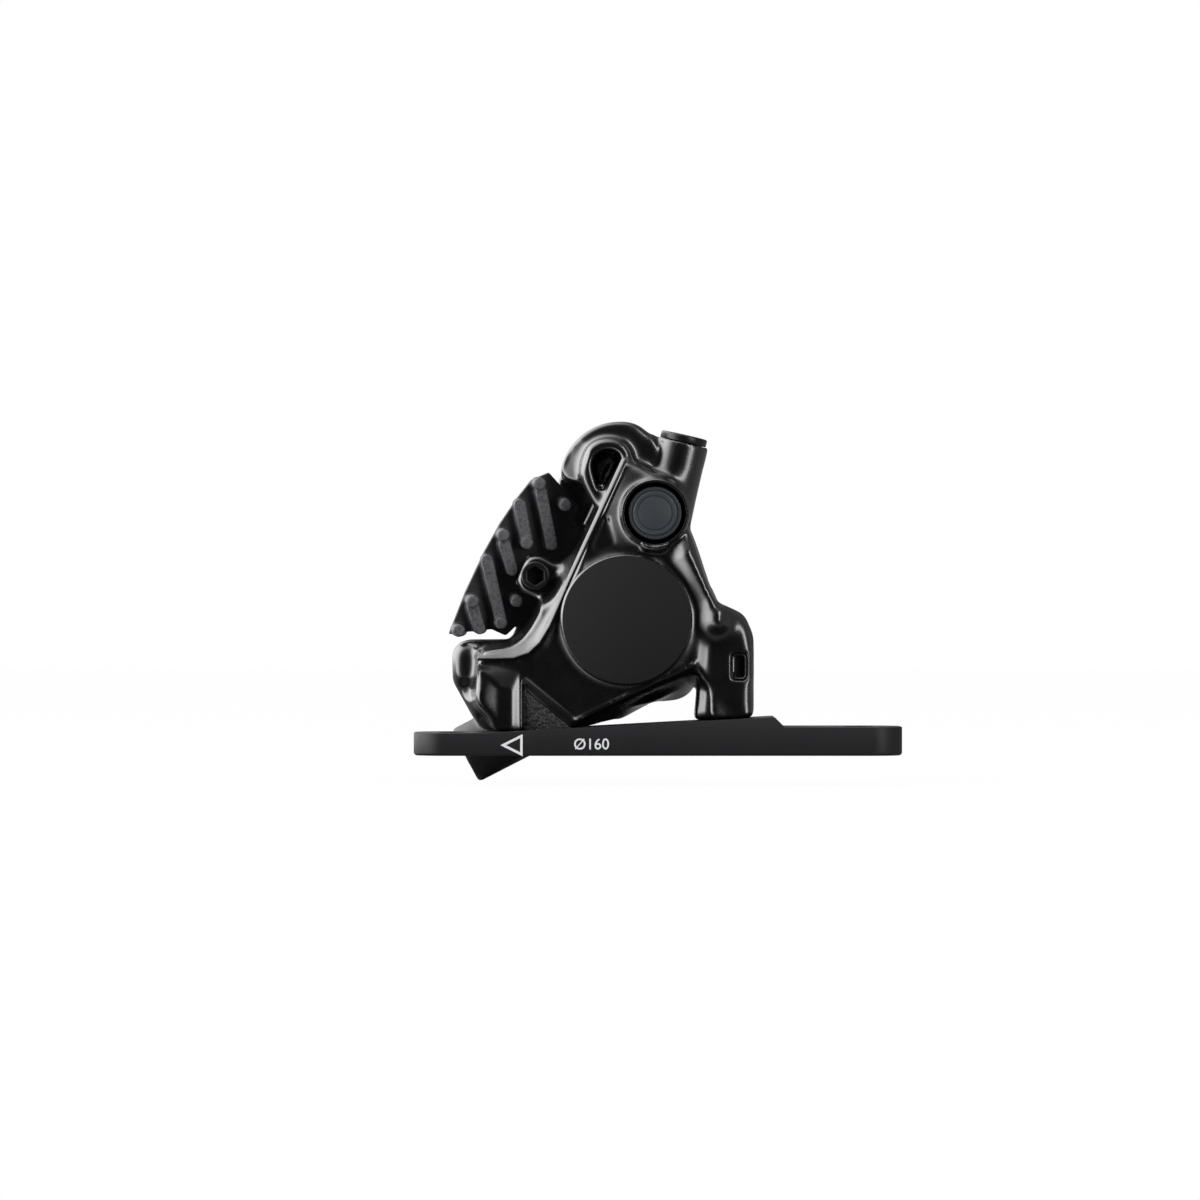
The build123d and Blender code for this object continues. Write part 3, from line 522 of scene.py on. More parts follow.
def front_of(points: np.ndarray, cell: float = 0.4) -> np.ndarray:
    """Find the Y of the piece's front surface at each of its corners.

    Args:
        points: Corners of the mesh in millimetres.
        cell: Width of the squares in which the foremost corner is taken.

    Returns:
        The foremost Y in each corner's square of the XZ plane.
    """
    cells = np.round(points[:, [0, 2]] / cell).astype(int)
    place = np.unique(cells, axis=0, return_inverse=True)[1].ravel()
    nearest = np.full(place.max() + 1, np.inf)
    np.minimum.at(nearest, place, points[:, 1])
    return nearest[place]


@dataclass(frozen=True)
class Stroke:
    """A crest, or a furrow where its rise is below zero, whose half width goes from first to last."""

    line: Line
    rise: float
    first: float
    last: float

    def lift(self, places: np.ndarray) -> np.ndarray:
        """Work out the height that the stroke adds.

        Args:
            places: X and Z of each place, in millimetres.

        Returns:
            Height at each place.
        """
        distance, along, _ = line_distance(places, self.line)
        width = self.first + (self.last - self.first) * along
        return self.rise * np.exp(-(distance / width) ** 2)


@dataclass(frozen=True)
class Roll:
    """An edge that falls away: a gentle lean over its width that steepens to the drop at the edge itself."""

    line: Line
    width: float
    drop: float
    lean: float = 0.55

    def lift(self, places: np.ndarray) -> np.ndarray:
        """Height that the roll adds at each place, which is never above zero."""
        near = np.clip(1 - line_distance(places, self.line)[0] / self.width, 0, 1)
        return -self.drop * (self.lean * near + (1 - self.lean) * near ** 4)


@dataclass(frozen=True)
class Dip:
    """A flat-bottomed hollow whose soft round rim takes up a share of its radii."""

    centre: Place
    radii: Place
    depth: float
    rim: float

    def lift(self, places: np.ndarray) -> np.ndarray:
        """Height that the dip adds at each place, which is never above zero."""
        reach = np.linalg.norm((places - np.array(self.centre)) / np.array(self.radii), axis=1)
        return -self.depth * eased(np.clip((1 - reach) / self.rim, 0, 1))


@dataclass(frozen=True)
class Pocket:
    """A recess with straight edges, each with its own slope, down to a level floor."""

    outline: Line
    slopes: tuple[float, ...]
    depth: float

    def lift(self, places: np.ndarray) -> np.ndarray:
        """Work out the height that the pocket adds, which is never above zero.

        Args:
            places: X and Z of each place, in millimetres.

        Returns:
            Height at each place.
        """
        sunk = np.full(len(places), self.depth)
        for start, end, slope in zip(self.outline, self.outline[1:] + self.outline[:1], self.slopes):
            run = np.array(end) - np.array(start)
            inward = np.array((-run[1], run[0])) / np.linalg.norm(run)
            sunk = np.minimum(sunk, slope * ((places - np.array(start)) @ inward))
        return -np.clip(sunk, 0, self.depth)


@dataclass(frozen=True)
class Flare:
    """A flank beside a line that is drawn forward until it falls back by only a gentle slope.

    The flank lies to the right of the line as it runs.

    Attributes:
        line: The line.
        front: Y of the line.
        reach: Width of the flank.
        slope: How far it falls back in each millimetre from the line.
        spared: Circle in which nothing moves.
        limit: Y behind which a surface is left where it is.
        root: Y where nothing moves.
    """

    line: Line
    front: float
    reach: float
    slope: float
    spared: Circle
    limit: float = 2.5
    root: float = ROTOR_PLANE

    def press(self, points: np.ndarray) -> None:
        """Move the flank's corners along Y.

        Args:
            points: Corners of the mesh in millimetres, changed in place.
        """
        places = points[:, [0, 2]]
        distance, along, right = line_distance(places, self.line)
        surface = front_of(points)
        inside = right & (along > 0) & (along < 1) & (distance < self.reach) & (surface < self.limit)
        inside &= centre_distance(places, self.spared[0]) > self.spared[1]
        forward = np.where(inside, np.clip(surface - self.front - self.slope * distance, 0, None), 0)
        points[:, 1] -= forward * np.clip((self.root - points[:, 1]) / (self.root - surface), 0, 1)


@dataclass(frozen=True)
class Fill:
    """A stretch along a line whose front is drawn level, so that the fillets and pockets in it go.

    Attributes:
        line: The line.
        front: Y of the level face.
        reach: Half the width of the stretch.
        depth: How far behind the face something still counts as its front.
        share: Share of its depth at which that stays.
        blend: Width over which the stretch's edge goes over into the rest.
    """

    line: Line
    front: float
    reach: float
    depth: float
    share: float = 0.1
    blend: float = 1.2

    def press(self, points: np.ndarray) -> None:
        """Move the stretch's corners along Y.

        Args:
            points: Corners of the mesh in millimetres, changed in place.
        """
        distance = line_distance(points[:, [0, 2]], self.line)[0]
        inside = np.clip((self.reach - distance) / self.blend, 0, 1)
        back = points[:, 1] - self.front
        edge = self.share * self.depth
        # What lies between one and three depths behind the front is stretched to meet what stays.
        stretched = edge + (back - self.depth) * (3 * self.depth - edge) / (2 * self.depth)
        level = np.where(back < self.depth, self.share * back, stretched)
        moved = np.where((back > 0) & (back < 3 * self.depth), level, back)
        points[:, 1] += inside * (moved - back)


@dataclass(frozen=True)
class Bore:
    """The wall of a bore along Y, which keeps clear of the piston in it after the smoothing.

    Attributes:
        centre: Centre of the bore.
        radius: Least radius of its wall.
        margin: How far inside that radius a corner still belongs to the wall.
        first: Y of its mouth.
        last: Y of its end.
    """

    centre: Place
    radius: float
    margin: float = 0.5
    first: float = 0.0
    last: float = 13.6

    def press(self, points: np.ndarray) -> None:
        """Move the wall's corners outwards to the radius.

        Args:
            points: Corners of the mesh in millimetres, changed in place.
        """
        arms = points[:, [0, 2]] - np.array(self.centre)
        reach = np.linalg.norm(arms, axis=1)
        near = (reach > self.radius - self.margin) & (reach < self.radius)
        near &= (points[:, 1] > self.first) & (points[:, 1] < self.last)
        points[np.ix_(near, [0, 2])] += arms[near] * (self.radius / reach[near] - 1)[:, None]


@dataclass
class Casting:
    """A forged or cast piece: its CAD solid with every edge softened, and its front shaped by strokes.

    Attributes:
        node: CAD node whose place it takes.
        finish: Its surface.
        body: Body that carries it.
        voxel: Width of the faces of its skin.
        rounds: Rounds of smoothing over the whole piece.
        triangles: Most triangles that it may have.
        strokes: Crests, rolls, dips and pockets drawn on its front.
        sink: How far its whole front sinks.
        front: Y where strokes and sinking work in full.
        root: Y where they have gone.
        keep: Circles that they leave alone.
        presses: Fills and flares, pressed before the front is softened.
        soft_rounds: Rounds of smoothing over the front alone.
        soft_root: Y where that smoothing has gone.
        soft_fade: Depth over which it goes.
        crisp: Circles that it leaves alone.
        bores: Bores, pressed clear at the end.
    """

    node: str
    finish: Finish
    body: str = CALIPER
    voxel: float = 0.3
    rounds: int = 6
    triangles: int = 180000
    strokes: tuple[Stroke | Roll | Dip | Pocket, ...] = ()
    sink: float = 0.0
    front: float = FRONT_FACE
    root: float = 4.0
    keep: tuple[Circle, ...] = ()
    presses: tuple[Fill | Flare, ...] = ()
    soft_rounds: int = 0
    soft_root: float = 6.5
    soft_fade: float = 2.0
    crisp: tuple[Circle, ...] = ()
    bores: tuple[Bore, ...] = ()

    def build(self) -> bpy.types.Object:
        """Remesh a merged copy of the CAD solid, shape and smooth it and put it in the solid's place.

        Returns:
            The casting.
        """
        piece = shown(merged(self.node), self.node + "_cast")
        self.skin(piece)
        if self.strokes:
            self.press(piece.data, self.presses)
            self.soften_front(piece)
            self.shape_front(piece.data)
            self.skin(piece)
        self.soften(piece)
        self.press(piece.data, self.bores)
        piece.data.shade_smooth()
        return seat(piece, self.finish, self.body, self.node)

    def skin(self, piece: bpy.types.Object) -> None:
        """Give the piece an even skin of small faces.

        Args:
            piece: The casting.
        """
        remesh = piece.modifiers.new("Skin", "REMESH")
        remesh.mode = "VOXEL"
        remesh.voxel_size = self.voxel * MM
        bake(piece)

    def press(self, mesh: bpy.types.Mesh, shifts: tuple[Fill | Flare | Bore, ...]) -> None:
        """Move the mesh's corners by each of the shifts in turn.

        Args:
            mesh: Mesh of the remeshed casting.
            shifts: Fills, flares or bores.
        """
        points = corners(mesh)
        for shift in shifts:
            shift.press(points)
        move_corners(mesh, points)

    def soften_front(self, piece: bpy.types.Object, levels: int = 10) -> None:
        """Smooth the front's corners by many rounds, fewer towards the root and in the crisp places.

        Args:
            piece: The casting.
            levels: Number of steps in which the smoothing goes.
        """
        points = corners(piece.data)
        weight = np.clip((self.soft_root - points[:, 1]) / self.soft_fade, 0, 1)
        for centre, radius in self.crisp:
            weight *= np.clip(centre_distance(points[:, [0, 2]], centre) - radius, 0, 1)
        group = piece.vertex_groups.new(name="soft")
        nearest = np.round(weight * levels).astype(int)
        for level in range(1, levels + 1):
            group.add(np.flatnonzero(nearest == level).tolist(), level / levels, "REPLACE")
        soft = piece.modifiers.new("Soft front", "SMOOTH")
        soft.iterations = self.soft_rounds
        soft.vertex_group = "soft"
        bake(piece)

    def shape_front(self, mesh: bpy.types.Mesh) -> None:
        """Move the casting's front surface by its strokes, less and less towards its root.

        Args:
            mesh: Mesh of the remeshed casting.
        """
        points = corners(mesh)
        places = points[:, [0, 2]]
        lift = sum(stroke.lift(places) for stroke in self.strokes) - self.sink
        for centre, radius in self.keep:
            lift *= np.clip(2 * (centre_distance(places, centre) / radius - 1), 0, 1)
        points[:, 1] -= lift * eased(np.clip((self.root - points[:, 1]) / (self.root - self.front), 0, 1))
        move_corners(mesh, points)

    def soften(self, piece: bpy.types.Object) -> None:
        """Soften every edge a little, and thin the mesh to the most triangles that it may have.

        Args:
            piece: The casting.
        """
        soft = piece.modifiers.new("Soft edges", "SMOOTH")
        soft.iterations = self.rounds
        triangles = 2 * len(piece.data.polygons)
        if triangles > self.triangles:
            fewer = piece.modifiers.new("Fewer faces", "DECIMATE")
            fewer.ratio = self.triangles / triangles
        bake(piece)


@dataclass
class Machined:
    """A crisp piece: its CAD solid with every sharp edge broken by a bevel of the edge's width."""

    node: str
    finish: Finish
    body: str = CALIPER
    edge: float = 0.12

    def build(self) -> bpy.types.Object:
        """Bevel a merged copy of the CAD solid and put it in the solid's place.

        Returns:
            The machined piece.
        """
        shape = merged(self.node)
        bmesh.ops.dissolve_limit(shape, angle_limit=math.radians(FLAT_ANGLE), verts=shape.verts,
                                 edges=shape.edges)
        sharp = [edge for edge in shape.edges
                 if len(edge.link_faces) == 2 and edge.calc_face_angle() > math.radians(SHARP_ANGLE)]
        break_edges(shape, sharp, self.edge, clamp=True)
        return crisp_piece(shape, self.node + "_crisp", self.finish, self.body, self.node)


@dataclass
class Turned:
    """A piece turned about an axis along Y.

    Attributes:
        name: Name of the piece.
        finish: Its surface.
        centre: X and Z of the axis.
        front: Y of the front.
        profile: Radius and depth behind the front of each point.
        body: Body that carries it.
        node: CAD node whose place it takes, if any.
        steps: Number of steps round.
    """

    name: str
    finish: Finish
    centre: Place
    front: float
    profile: Line
    body: str = CALIPER
    node: str = ""
    steps: int = 96

    def build(self) -> bpy.types.Object:
        """Turn the profile.

        Returns:
            The turned piece.
        """
        shape = bmesh.new()
        x, z = self.centre
        points = [shape.verts.new(Vector((x + radius, self.front + depth, z)) * MM)
                  for radius, depth in self.profile]
        edges = [shape.edges.new(pair) for pair in zip(points, points[1:])]
        bmesh.ops.spin(shape, geom=points + edges, cent=Vector((x, 0, z)) * MM, axis=(0, 1, 0),
                       angle=math.tau, steps=self.steps, use_merge=True)
        bmesh.ops.remove_doubles(shape, verts=shape.verts, dist=WELD * MM)
        return crisp_piece(shape, self.name, self.finish, self.body, self.node)


@dataclass(frozen=True)
class SoftBox:
    """A soft lamp.

    Attributes:
        name: Name of the lamp.
        place: Where it stands, in metres.
        size: Width and height of its face, in metres.
        power: Its power in watts.
    """

    name: str
    place: tuple[float, float, float]
    size: tuple[float, float]
    power: float

    def build(self, target: Vector) -> None:
        """Stand the lamp up so that it faces the object.

        Args:
            target: Middle of the object, in metres.
        """
        data = bpy.data.lights.new(self.name, "AREA")
        data.shape = "RECTANGLE"
        data.size, data.size_y = self.size
        data.energy = self.power
        lamp = bpy.data.objects.new(self.name, data)
        lamp.location = self.place
        lamp.rotation_euler = (target - lamp.location).to_track_quat("-Z", "Y").to_euler()
        bpy.context.scene.collection.objects.link(lamp)


@dataclass(frozen=True)
class Glow:
    """Light of the surround that changes softly with the direction.

    Attributes:
        axis: Axis on which the direction is measured.
        low: Share of the direction along the axis where the change starts.
        high: Share where it ends.
        first: Level of the light before the change.
        last: Level after it.
    """

    axis: tuple[float, float, float]
    low: float
    high: float
    first: float
    last: float


@dataclass
class Studio:
    """White floor and surround, soft lamps at the sides, and the camera of the photograph.

    Attributes:
        frame_width: Width of the camera's frame at the body's front face.
        middle: Middle of the frame.
        lens: Focal length of the camera.
        sensor: Width of its sensor.
        board: Half the floor's width, in metres.
        board_front: Y of the floor's near edge, in metres.
        board_grey: The floor's grey in plain light.
        mirrored_grey: Its grey as the object's gloss shows it.
        board_glow: Share of plain white in what the camera sees of it.
        diffuse_level: Level of the surround as it lights matte surfaces.
        target_depth: Y that the lamps face, in metres.
        glows: Changes of the surround's light: dark where the camera stands, dimmer straight behind, and
            brightest at the left.
        lamps: The lamps.
    """

    frame_width: float = 206.04
    middle: Place = (-9.96, 26.7)
    lens: float = 200.0
    sensor: float = 36.0
    board: float = 1.0
    board_front: float = -0.02
    board_grey: float = 0.8
    mirrored_grey: float = 0.3
    board_glow: float = 0.97
    diffuse_level: float = 0.45
    target_depth: float = 0.01
    glows: tuple[Glow, ...] = (
        Glow((0.0, -1.0, 0.0), 0.3, 0.88, 1.0, 0.0),
        Glow((0.0, -1.0, 0.0), -0.95, -0.4, 0.4, 1.0),
        Glow((-0.99, 0.0, 0.12), -0.25, 0.8, 0.3, 6.0),
    )
    lamps: tuple[SoftBox, ...] = (
        SoftBox("left_box", (-1.16, -0.3, 0.3), (1.2, 1.4), 11.0),
        SoftBox("right_box", (0.79, -0.9, 0.35), (0.35, 1.2), 11.0),
        SoftBox("top_box", (0.1, -0.3, 1.25), (1.0, 0.8), 3.0),
    )

    def build(self, height: float) -> None:
        """Set up camera, light and floor.

        Args:
            height: Height of the object's lowest point, in metres.
        """
        bpy.context.scene.view_settings.view_transform = "Standard"
        self.camera()
        self.surround()
        self.floor(height)
        x, z = self.middle
        for lamp in self.lamps:
            lamp.build(Vector((x * MM, self.target_depth, z * MM)))

    def camera(self) -> None:
        """Set the camera up straight on and far away, as wide as the photograph at the body's front face."""
        data = bpy.data.cameras.new("Camera")
        data.lens = self.lens
        data.sensor_width = self.sensor
        data.clip_start = 0.01
        data.clip_end = 20
        eye = bpy.data.objects.new("Camera", data)
        x, z = self.middle
        eye.location = Vector((x, FRONT_FACE - self.frame_width * self.lens / self.sensor, z)) * MM
        eye.rotation_euler = (math.pi / 2, 0, 0)
        bpy.context.scene.collection.objects.link(eye)
        bpy.context.scene.camera = eye

    def surround(self) -> None:
        """Make the world: white to the camera, and the product of the glows to everything else."""
        world = bpy.data.worlds.new("Surround")
        bpy.context.scene.world = world
        world.use_nodes = True
        tree = world.node_tree
        tree.nodes.clear()
        way = add_node(tree, "ShaderNodeTexCoord").outputs["Generated"]
        levels = []
        for glow in self.glows:
            facing = add_node(tree, "ShaderNodeVectorMath", {"operation": "DOT_PRODUCT"}, {1: glow.axis},
                              {0: way})
            change = add_node(tree, "ShaderNodeMapRange", {"interpolation_type": "SMOOTHSTEP"},
                              {"From Min": glow.low, "From Max": glow.high,
                               "To Min": glow.first, "To Max": glow.last},
                              {"Value": facing.outputs["Value"]})
            levels.append(change.outputs["Result"])
        room = levels[0]
        for level in levels[1:]:
            product = add_node(tree, "ShaderNodeMath", {"operation": "MULTIPLY"}, links={0: room, 1: level})
            room = product.outputs[0]
        path = add_node(tree, "ShaderNodeLightPath").outputs
        lit = add_node(tree, "ShaderNodeMix", {"data_type": "FLOAT"}, {"B": self.diffuse_level},
                       {"Factor": path["Is Diffuse Ray"], "A": room})
        seen = add_node(tree, "ShaderNodeMix", {"data_type": "FLOAT"}, {"B": 1.0},
                        {"Factor": path["Is Camera Ray"], "A": lit.outputs[0]})
        back = add_node(tree, "ShaderNodeBackground", values={"Color": grey(1.0)},
                        links={"Strength": seen.outputs[0]})
        add_node(tree, "ShaderNodeOutputWorld", links={"Surface": back.outputs["Background"]})

    def floor(self, height: float) -> None:
        """Lay a pale board under and behind the object.

        Its front edge is close to the object, so that no pale floor shows in the gloss of the front faces.

        Args:
            height: Height of the object's lowest point, in metres.
        """
        shape = bmesh.new()
        bmesh.ops.create_grid(shape, x_segments=1, y_segments=1, size=self.board)
        bmesh.ops.translate(shape, verts=shape.verts, vec=(0, self.board + self.board_front, height))
        board = shown(shape, "floor")
        board.data.materials.append(self.floor_paint())
        board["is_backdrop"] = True

    def floor_paint(self) -> bpy.types.Material:
        """Make the floor's paint: white to the camera but for the object's shadow.

        Returns:
            The material.
        """
        paint = bpy.data.materials.new("white_floor")
        paint.use_nodes = True
        tree = paint.node_tree
        tree.nodes.clear()
        path = add_node(tree, "ShaderNodeLightPath").outputs
        shade = add_node(tree, "ShaderNodeMix", {"data_type": "RGBA"},
                         {"A": grey(self.board_grey), "B": grey(self.mirrored_grey)},
                         {"Factor": path["Is Glossy Ray"]})
        matte = add_node(tree, "ShaderNodeBsdfDiffuse", links={"Color": shade.outputs[2]})
        glow = add_node(tree, "ShaderNodeEmission", values={"Color": grey(1.0), "Strength": 1.0})
        share = add_node(tree, "ShaderNodeMath", {"operation": "MULTIPLY"}, {1: self.board_glow},
                         {0: path["Is Camera Ray"]})
        both = add_node(tree, "ShaderNodeMixShader",
                        links={0: share.outputs[0], 1: matte.outputs[0], 2: glow.outputs[0]})
        add_node(tree, "ShaderNodeOutputMaterial", links={"Surface": both.outputs[0]})
        return paint


@dataclass
class OuterHalf:
    """The outboard half: its shaped casting, the matte round face, the boss's lip and the ridge's crisp bar.

    Attributes:
        lug: Centre of the lug round the pad axle's head.
        window: Centre of the right leg's window.
        tube_end: Centre of the upper tube's mouth.
        ridge: Ridge from the loop past the round face to the foot.
        band: Raised band from the boss past the round face, on its right.
        right_edge: Edge that falls away beside that band.
        under_edge: Edge under the round face.
        shoulder: Outer edge of the right leg.
        leg_dip: Hollow over the right leg.
        loop_face: Middle of the loop's level face.
        loop_end: Outer edge of the loop's left end.
        web: Level web between the ridge and the loop's opening.
        foot: Level face of the left foot.
        foot_hollow: Outline of the hollow in that foot.
        three_corners: Outline of the pocket beside the foot, at its mouth.
        pocket_outline: Outline of the pocket's grained floor.
        pocket_front: Y of that floor.
        pocket_thickness: Its thickness.
        pocket_edge: Width of its bevels.
        bore_radius: Least radius of the piston's bore.
        disc_profile: Radius and depth of each point of the matte round face.
        rim_profile: The same for the enamelled rim round it.
        lip_profile: The same for the lip round the boss's mouth.
        bar_front: Y of the bar's crest.
        bar_width: Width of the bar.
        bar_back: How far it leans back in each millimetre of its width.
        bar_thickness: Its thickness.
        bar_edge: Width of its bevels.
        bridge_size: Size of the lip under the bridge.
        bridge_place: Middle of that lip.
        bridge_lean: How far its top leans back.
        bridge_edge: Width of its bevels.
    """

    lug: Place = (-21.1, 30.9)
    window: Place = (14.0, 15.4)
    tube_end: Place = (4.4, 54.0)
    ridge: Line = ((-5.6, 50.9), (-8.03, 45.6), (-10.8, 39.6), (-13.4, 34.0), (-15.4, 29.6), (-17.1, 25.6),
                   (-18.6, 22.2), (-20.3, 19.4), (-22.2, 17.6), (-24.8, 16.7), (-28.0, 16.6), (-31.0, 16.6))
    band: Line = ((4.6, 37.0), (6.4, 33.8), (8.4, 30.6), (9.8, 27.6), (10.6, 25.2), (10.3, 23.0))
    right_edge: Line = ((1.5, 36.0), (5.3, 41.0), (5.4, 39.3), (6.1, 37.3), (7.3, 34.6), (8.3, 31.7),
                        (9.3, 29.0), (10.7, 26.3))
    under_edge: Line = ((-14.2, 5.9), (-3.9, 10.9), (6.3, 15.7))
    shoulder: Line = ((10.7, 26.3), (13.0, 25.3), (14.9, 23.9), (16.0, 22.0), (16.5, 19.0), (16.6, 5.0))
    leg_dip: Dip = Dip(centre=(13.6, 16.0), radii=(7.4, 13.0), depth=0.9, rim=0.4)
    loop_face: Line = ((-14.6, 46.5), (-15.3, 49.5), (-13.6, 52.8), (-10.0, 54.6), (-5.8, 54.4), (-2.8, 51.8))
    loop_end: Line = ((-16.6, 46.5), (-16.2, 49.5), (-15.2, 52.0))
    web: Line = ((-10.4, 36.6), (-9.0, 39.0), (-8.3, 36.3))
    foot: Line = ((-25.0, 9.5), (-19.0, 7.5))
    foot_hollow: Line = ((-31.4, 1.0), (-23.7, 1.0), (-23.7, 14.6), (-31.4, 15.6))
    three_corners: Line = ((-23.4, 2.0), (-8.9, 2.0), (-23.4, 14.1))
    pocket_outline: Line = ((-23.0, 3.6), (-13.6, 3.6), (-23.0, 11.3))
    pocket_front: float = -3.6
    pocket_thickness: float = 0.6
    pocket_edge: float = 0.15
    bore_radius: float = 11.25
    disc_profile: Line = ((0.0, 0.0), (10.8, 0.0), (10.92, 0.05), (10.95, 0.12), (10.95, 1.6), (0.0, 1.6))
    rim_profile: Line = ((10.85, 0.3), (10.93, 0.1), (11.0, 0.08), (11.3, 0.34), (11.36, 0.5), (11.36, 2.6),
                         (10.85, 2.6), (10.85, 0.3))
    lip_profile: Line = ((5.3, 3.0), (5.3, 0.16), (5.38, 0.04), (5.52, 0.0), (5.68, 0.04), (5.82, 0.18),
                         (5.95, 0.5), (6.0, 3.0), (5.3, 3.0))
    bar_front: float = -5.85
    bar_width: float = 0.65
    bar_back: float = 0.7
    bar_thickness: float = 0.7
    bar_edge: float = 0.12
    bridge_size: tuple[float, float, float] = (3.6, 0.9, 3.0)
    bridge_place: tuple[float, float, float] = (-13.5, 11.2, 39.2)
    bridge_lean: float = 0.3
    bridge_edge: float = 0.25

    def build(self) -> list[bpy.types.Object]:
        """Build the half's pieces.

        Returns:
            The casting and what stands on it.
        """
        return [
            self.casting(),
            Turned("round_face", DISC_PAINT, PISTON_CENTRE, RAISED_FACE, self.disc_profile).build(),
            Turned("round_face_edge", ENAMEL, PISTON_CENTRE, RAISED_FACE, self.rim_profile).build(),
            Turned("boss_lip", ENAMEL, BOSS_CENTRE, RAISED_FACE, self.lip_profile).build(),
            self.crest_bar(),
            self.bridge_lip(),
            self.pocket_floor(),
        ]

    def casting(self) -> bpy.types.Object:
        """Build the body, whose face sinks behind the ridge, falls away at the right and dips over the leg.

        Returns:
            The body's casting.
        """
        strokes = (
            Stroke(self.ridge[5:], rise=0.7, first=0.8, last=1.6),
            Roll(self.right_edge, width=3.2, drop=2.6, lean=0.2),
            Stroke(self.band, rise=2.6, first=3.0, last=2.2),
            Stroke(self.under_edge, rise=0.5, first=0.4, last=0.4),
            Roll(self.shoulder, width=2.0, drop=1.2, lean=0.2),
            Roll(self.loop_end, width=3.4, drop=4.0, lean=0.9),
            self.leg_dip,
            Pocket(self.foot_hollow, slopes=(9.0, 0.9, 0.35, 0.3), depth=1.2),
            Pocket(self.three_corners, slopes=(9.0, 0.8, 2.5), depth=1.3),
        )
        presses = (
            Flare(self.ridge[4:], front=-5.1, reach=4.4, slope=0.3, spared=(self.lug, 4.4)),
            Fill(self.foot, FRONT_FACE, reach=7.0, depth=2.6),
            Fill(self.web, FRONT_FACE, reach=2.6, depth=4.2, share=0.05, blend=0.6),
            Fill(self.band, FRONT_FACE, reach=3.0, depth=5.0, share=0.12),
            Fill(self.loop_face, 0.5, reach=4.0, depth=1.7),
        )
        # Circles whose edges stay as crisp as the solid's.
        crisp = ((BOSS_CENTRE, 6.2), (self.window, 3.2), (self.tube_end, 5.2), (self.lug, 3.2))
        return Casting("outer_body", ENAMEL, voxel=0.25, rounds=10, strokes=strokes, sink=0.8,
                       keep=((BOSS_CENTRE, 5.9),), presses=presses, soft_rounds=110, crisp=crisp,
                       bores=(Bore(PISTON_CENTRE, self.bore_radius),)).build()

    def crest_bar(self) -> bpy.types.Object:
        """Build the crisp bright crest of the ridge: a strip that leans outwards.

        Returns:
            The bar.
        """
        shape = bmesh.new()
        points = [shape.verts.new(Vector((x, self.bar_front, z)) * MM) for x, z in self.ridge]
        edges = [shape.edges.new(pair) for pair in zip(points, points[1:])]
        made = bmesh.ops.extrude_edge_only(shape, edges=edges)["geom"]
        for corner in [item for item in made if isinstance(item, bmesh.types.BMVert)]:
            index = min(range(len(points)), key=lambda place: (points[place].co - corner.co).length)
            run = points[min(index + 1, len(points) - 1)].co - points[max(index - 1, 0)].co
            side = Vector((run.z, 0, -run.x)).normalized()
            corner.co += (side + Vector((0, self.bar_back, 0))) * self.bar_width * MM
        bmesh.ops.recalc_face_normals(shape, faces=shape.faces)
        bmesh.ops.solidify(shape, geom=list(shape.faces), thickness=self.bar_thickness * MM)
        rims = [edge for edge in shape.edges if edge.calc_face_angle(0) > math.radians(SHARP_ANGLE)]
        break_edges(shape, rims, self.bar_edge, steps=3)
        return crisp_piece(shape, "crest_bar", ENAMEL)

    def bridge_lip(self) -> bpy.types.Object:
        """Build the lip under the bridge that closes the slit over the fins.

        Returns:
            The lip.
        """
        shape = bmesh.new()
        bmesh.ops.create_cube(shape, size=1.0)
        bmesh.ops.scale(shape, verts=shape.verts, vec=Vector(self.bridge_size) * MM)
        top = [corner for corner in shape.verts if corner.co.z > 0]
        bmesh.ops.translate(shape, verts=top, vec=Vector((0, self.bridge_lean, 0)) * MM)
        bmesh.ops.translate(shape, verts=shape.verts, vec=Vector(self.bridge_place) * MM)
        break_edges(shape, list(shape.edges), self.bridge_edge, steps=3)
        # The duller enamel on the lip is painted shade.
        return crisp_piece(shape, "bridge_lip", SHADE_DULLED_ENAMEL)

    def pocket_floor(self) -> bpy.types.Object:
        """Build the as-cast floor of the three-cornered pocket over the foot.

        Returns:
            The floor.
        """
        shape = bmesh.new()
        face = flat_face(shape, self.pocket_outline, self.pocket_front)
        bmesh.ops.solidify(shape, geom=[face], thickness=self.pocket_thickness * MM)
        break_edges(shape, list(shape.edges), self.pocket_edge)
        return crisp_piece(shape, "pocket_floor", CAST_SKIN)


@dataclass
class InnerHalf:
    """The inboard half, a plain casting with the hose port."""

    rounds: int = 12

    def build(self) -> list[bpy.types.Object]:
        """Build the half's casting."""
        # The duller enamel on this half is painted shade.
        return [Casting("inner_body", SHADE_DULLED_ENAMEL, rounds=self.rounds).build()]


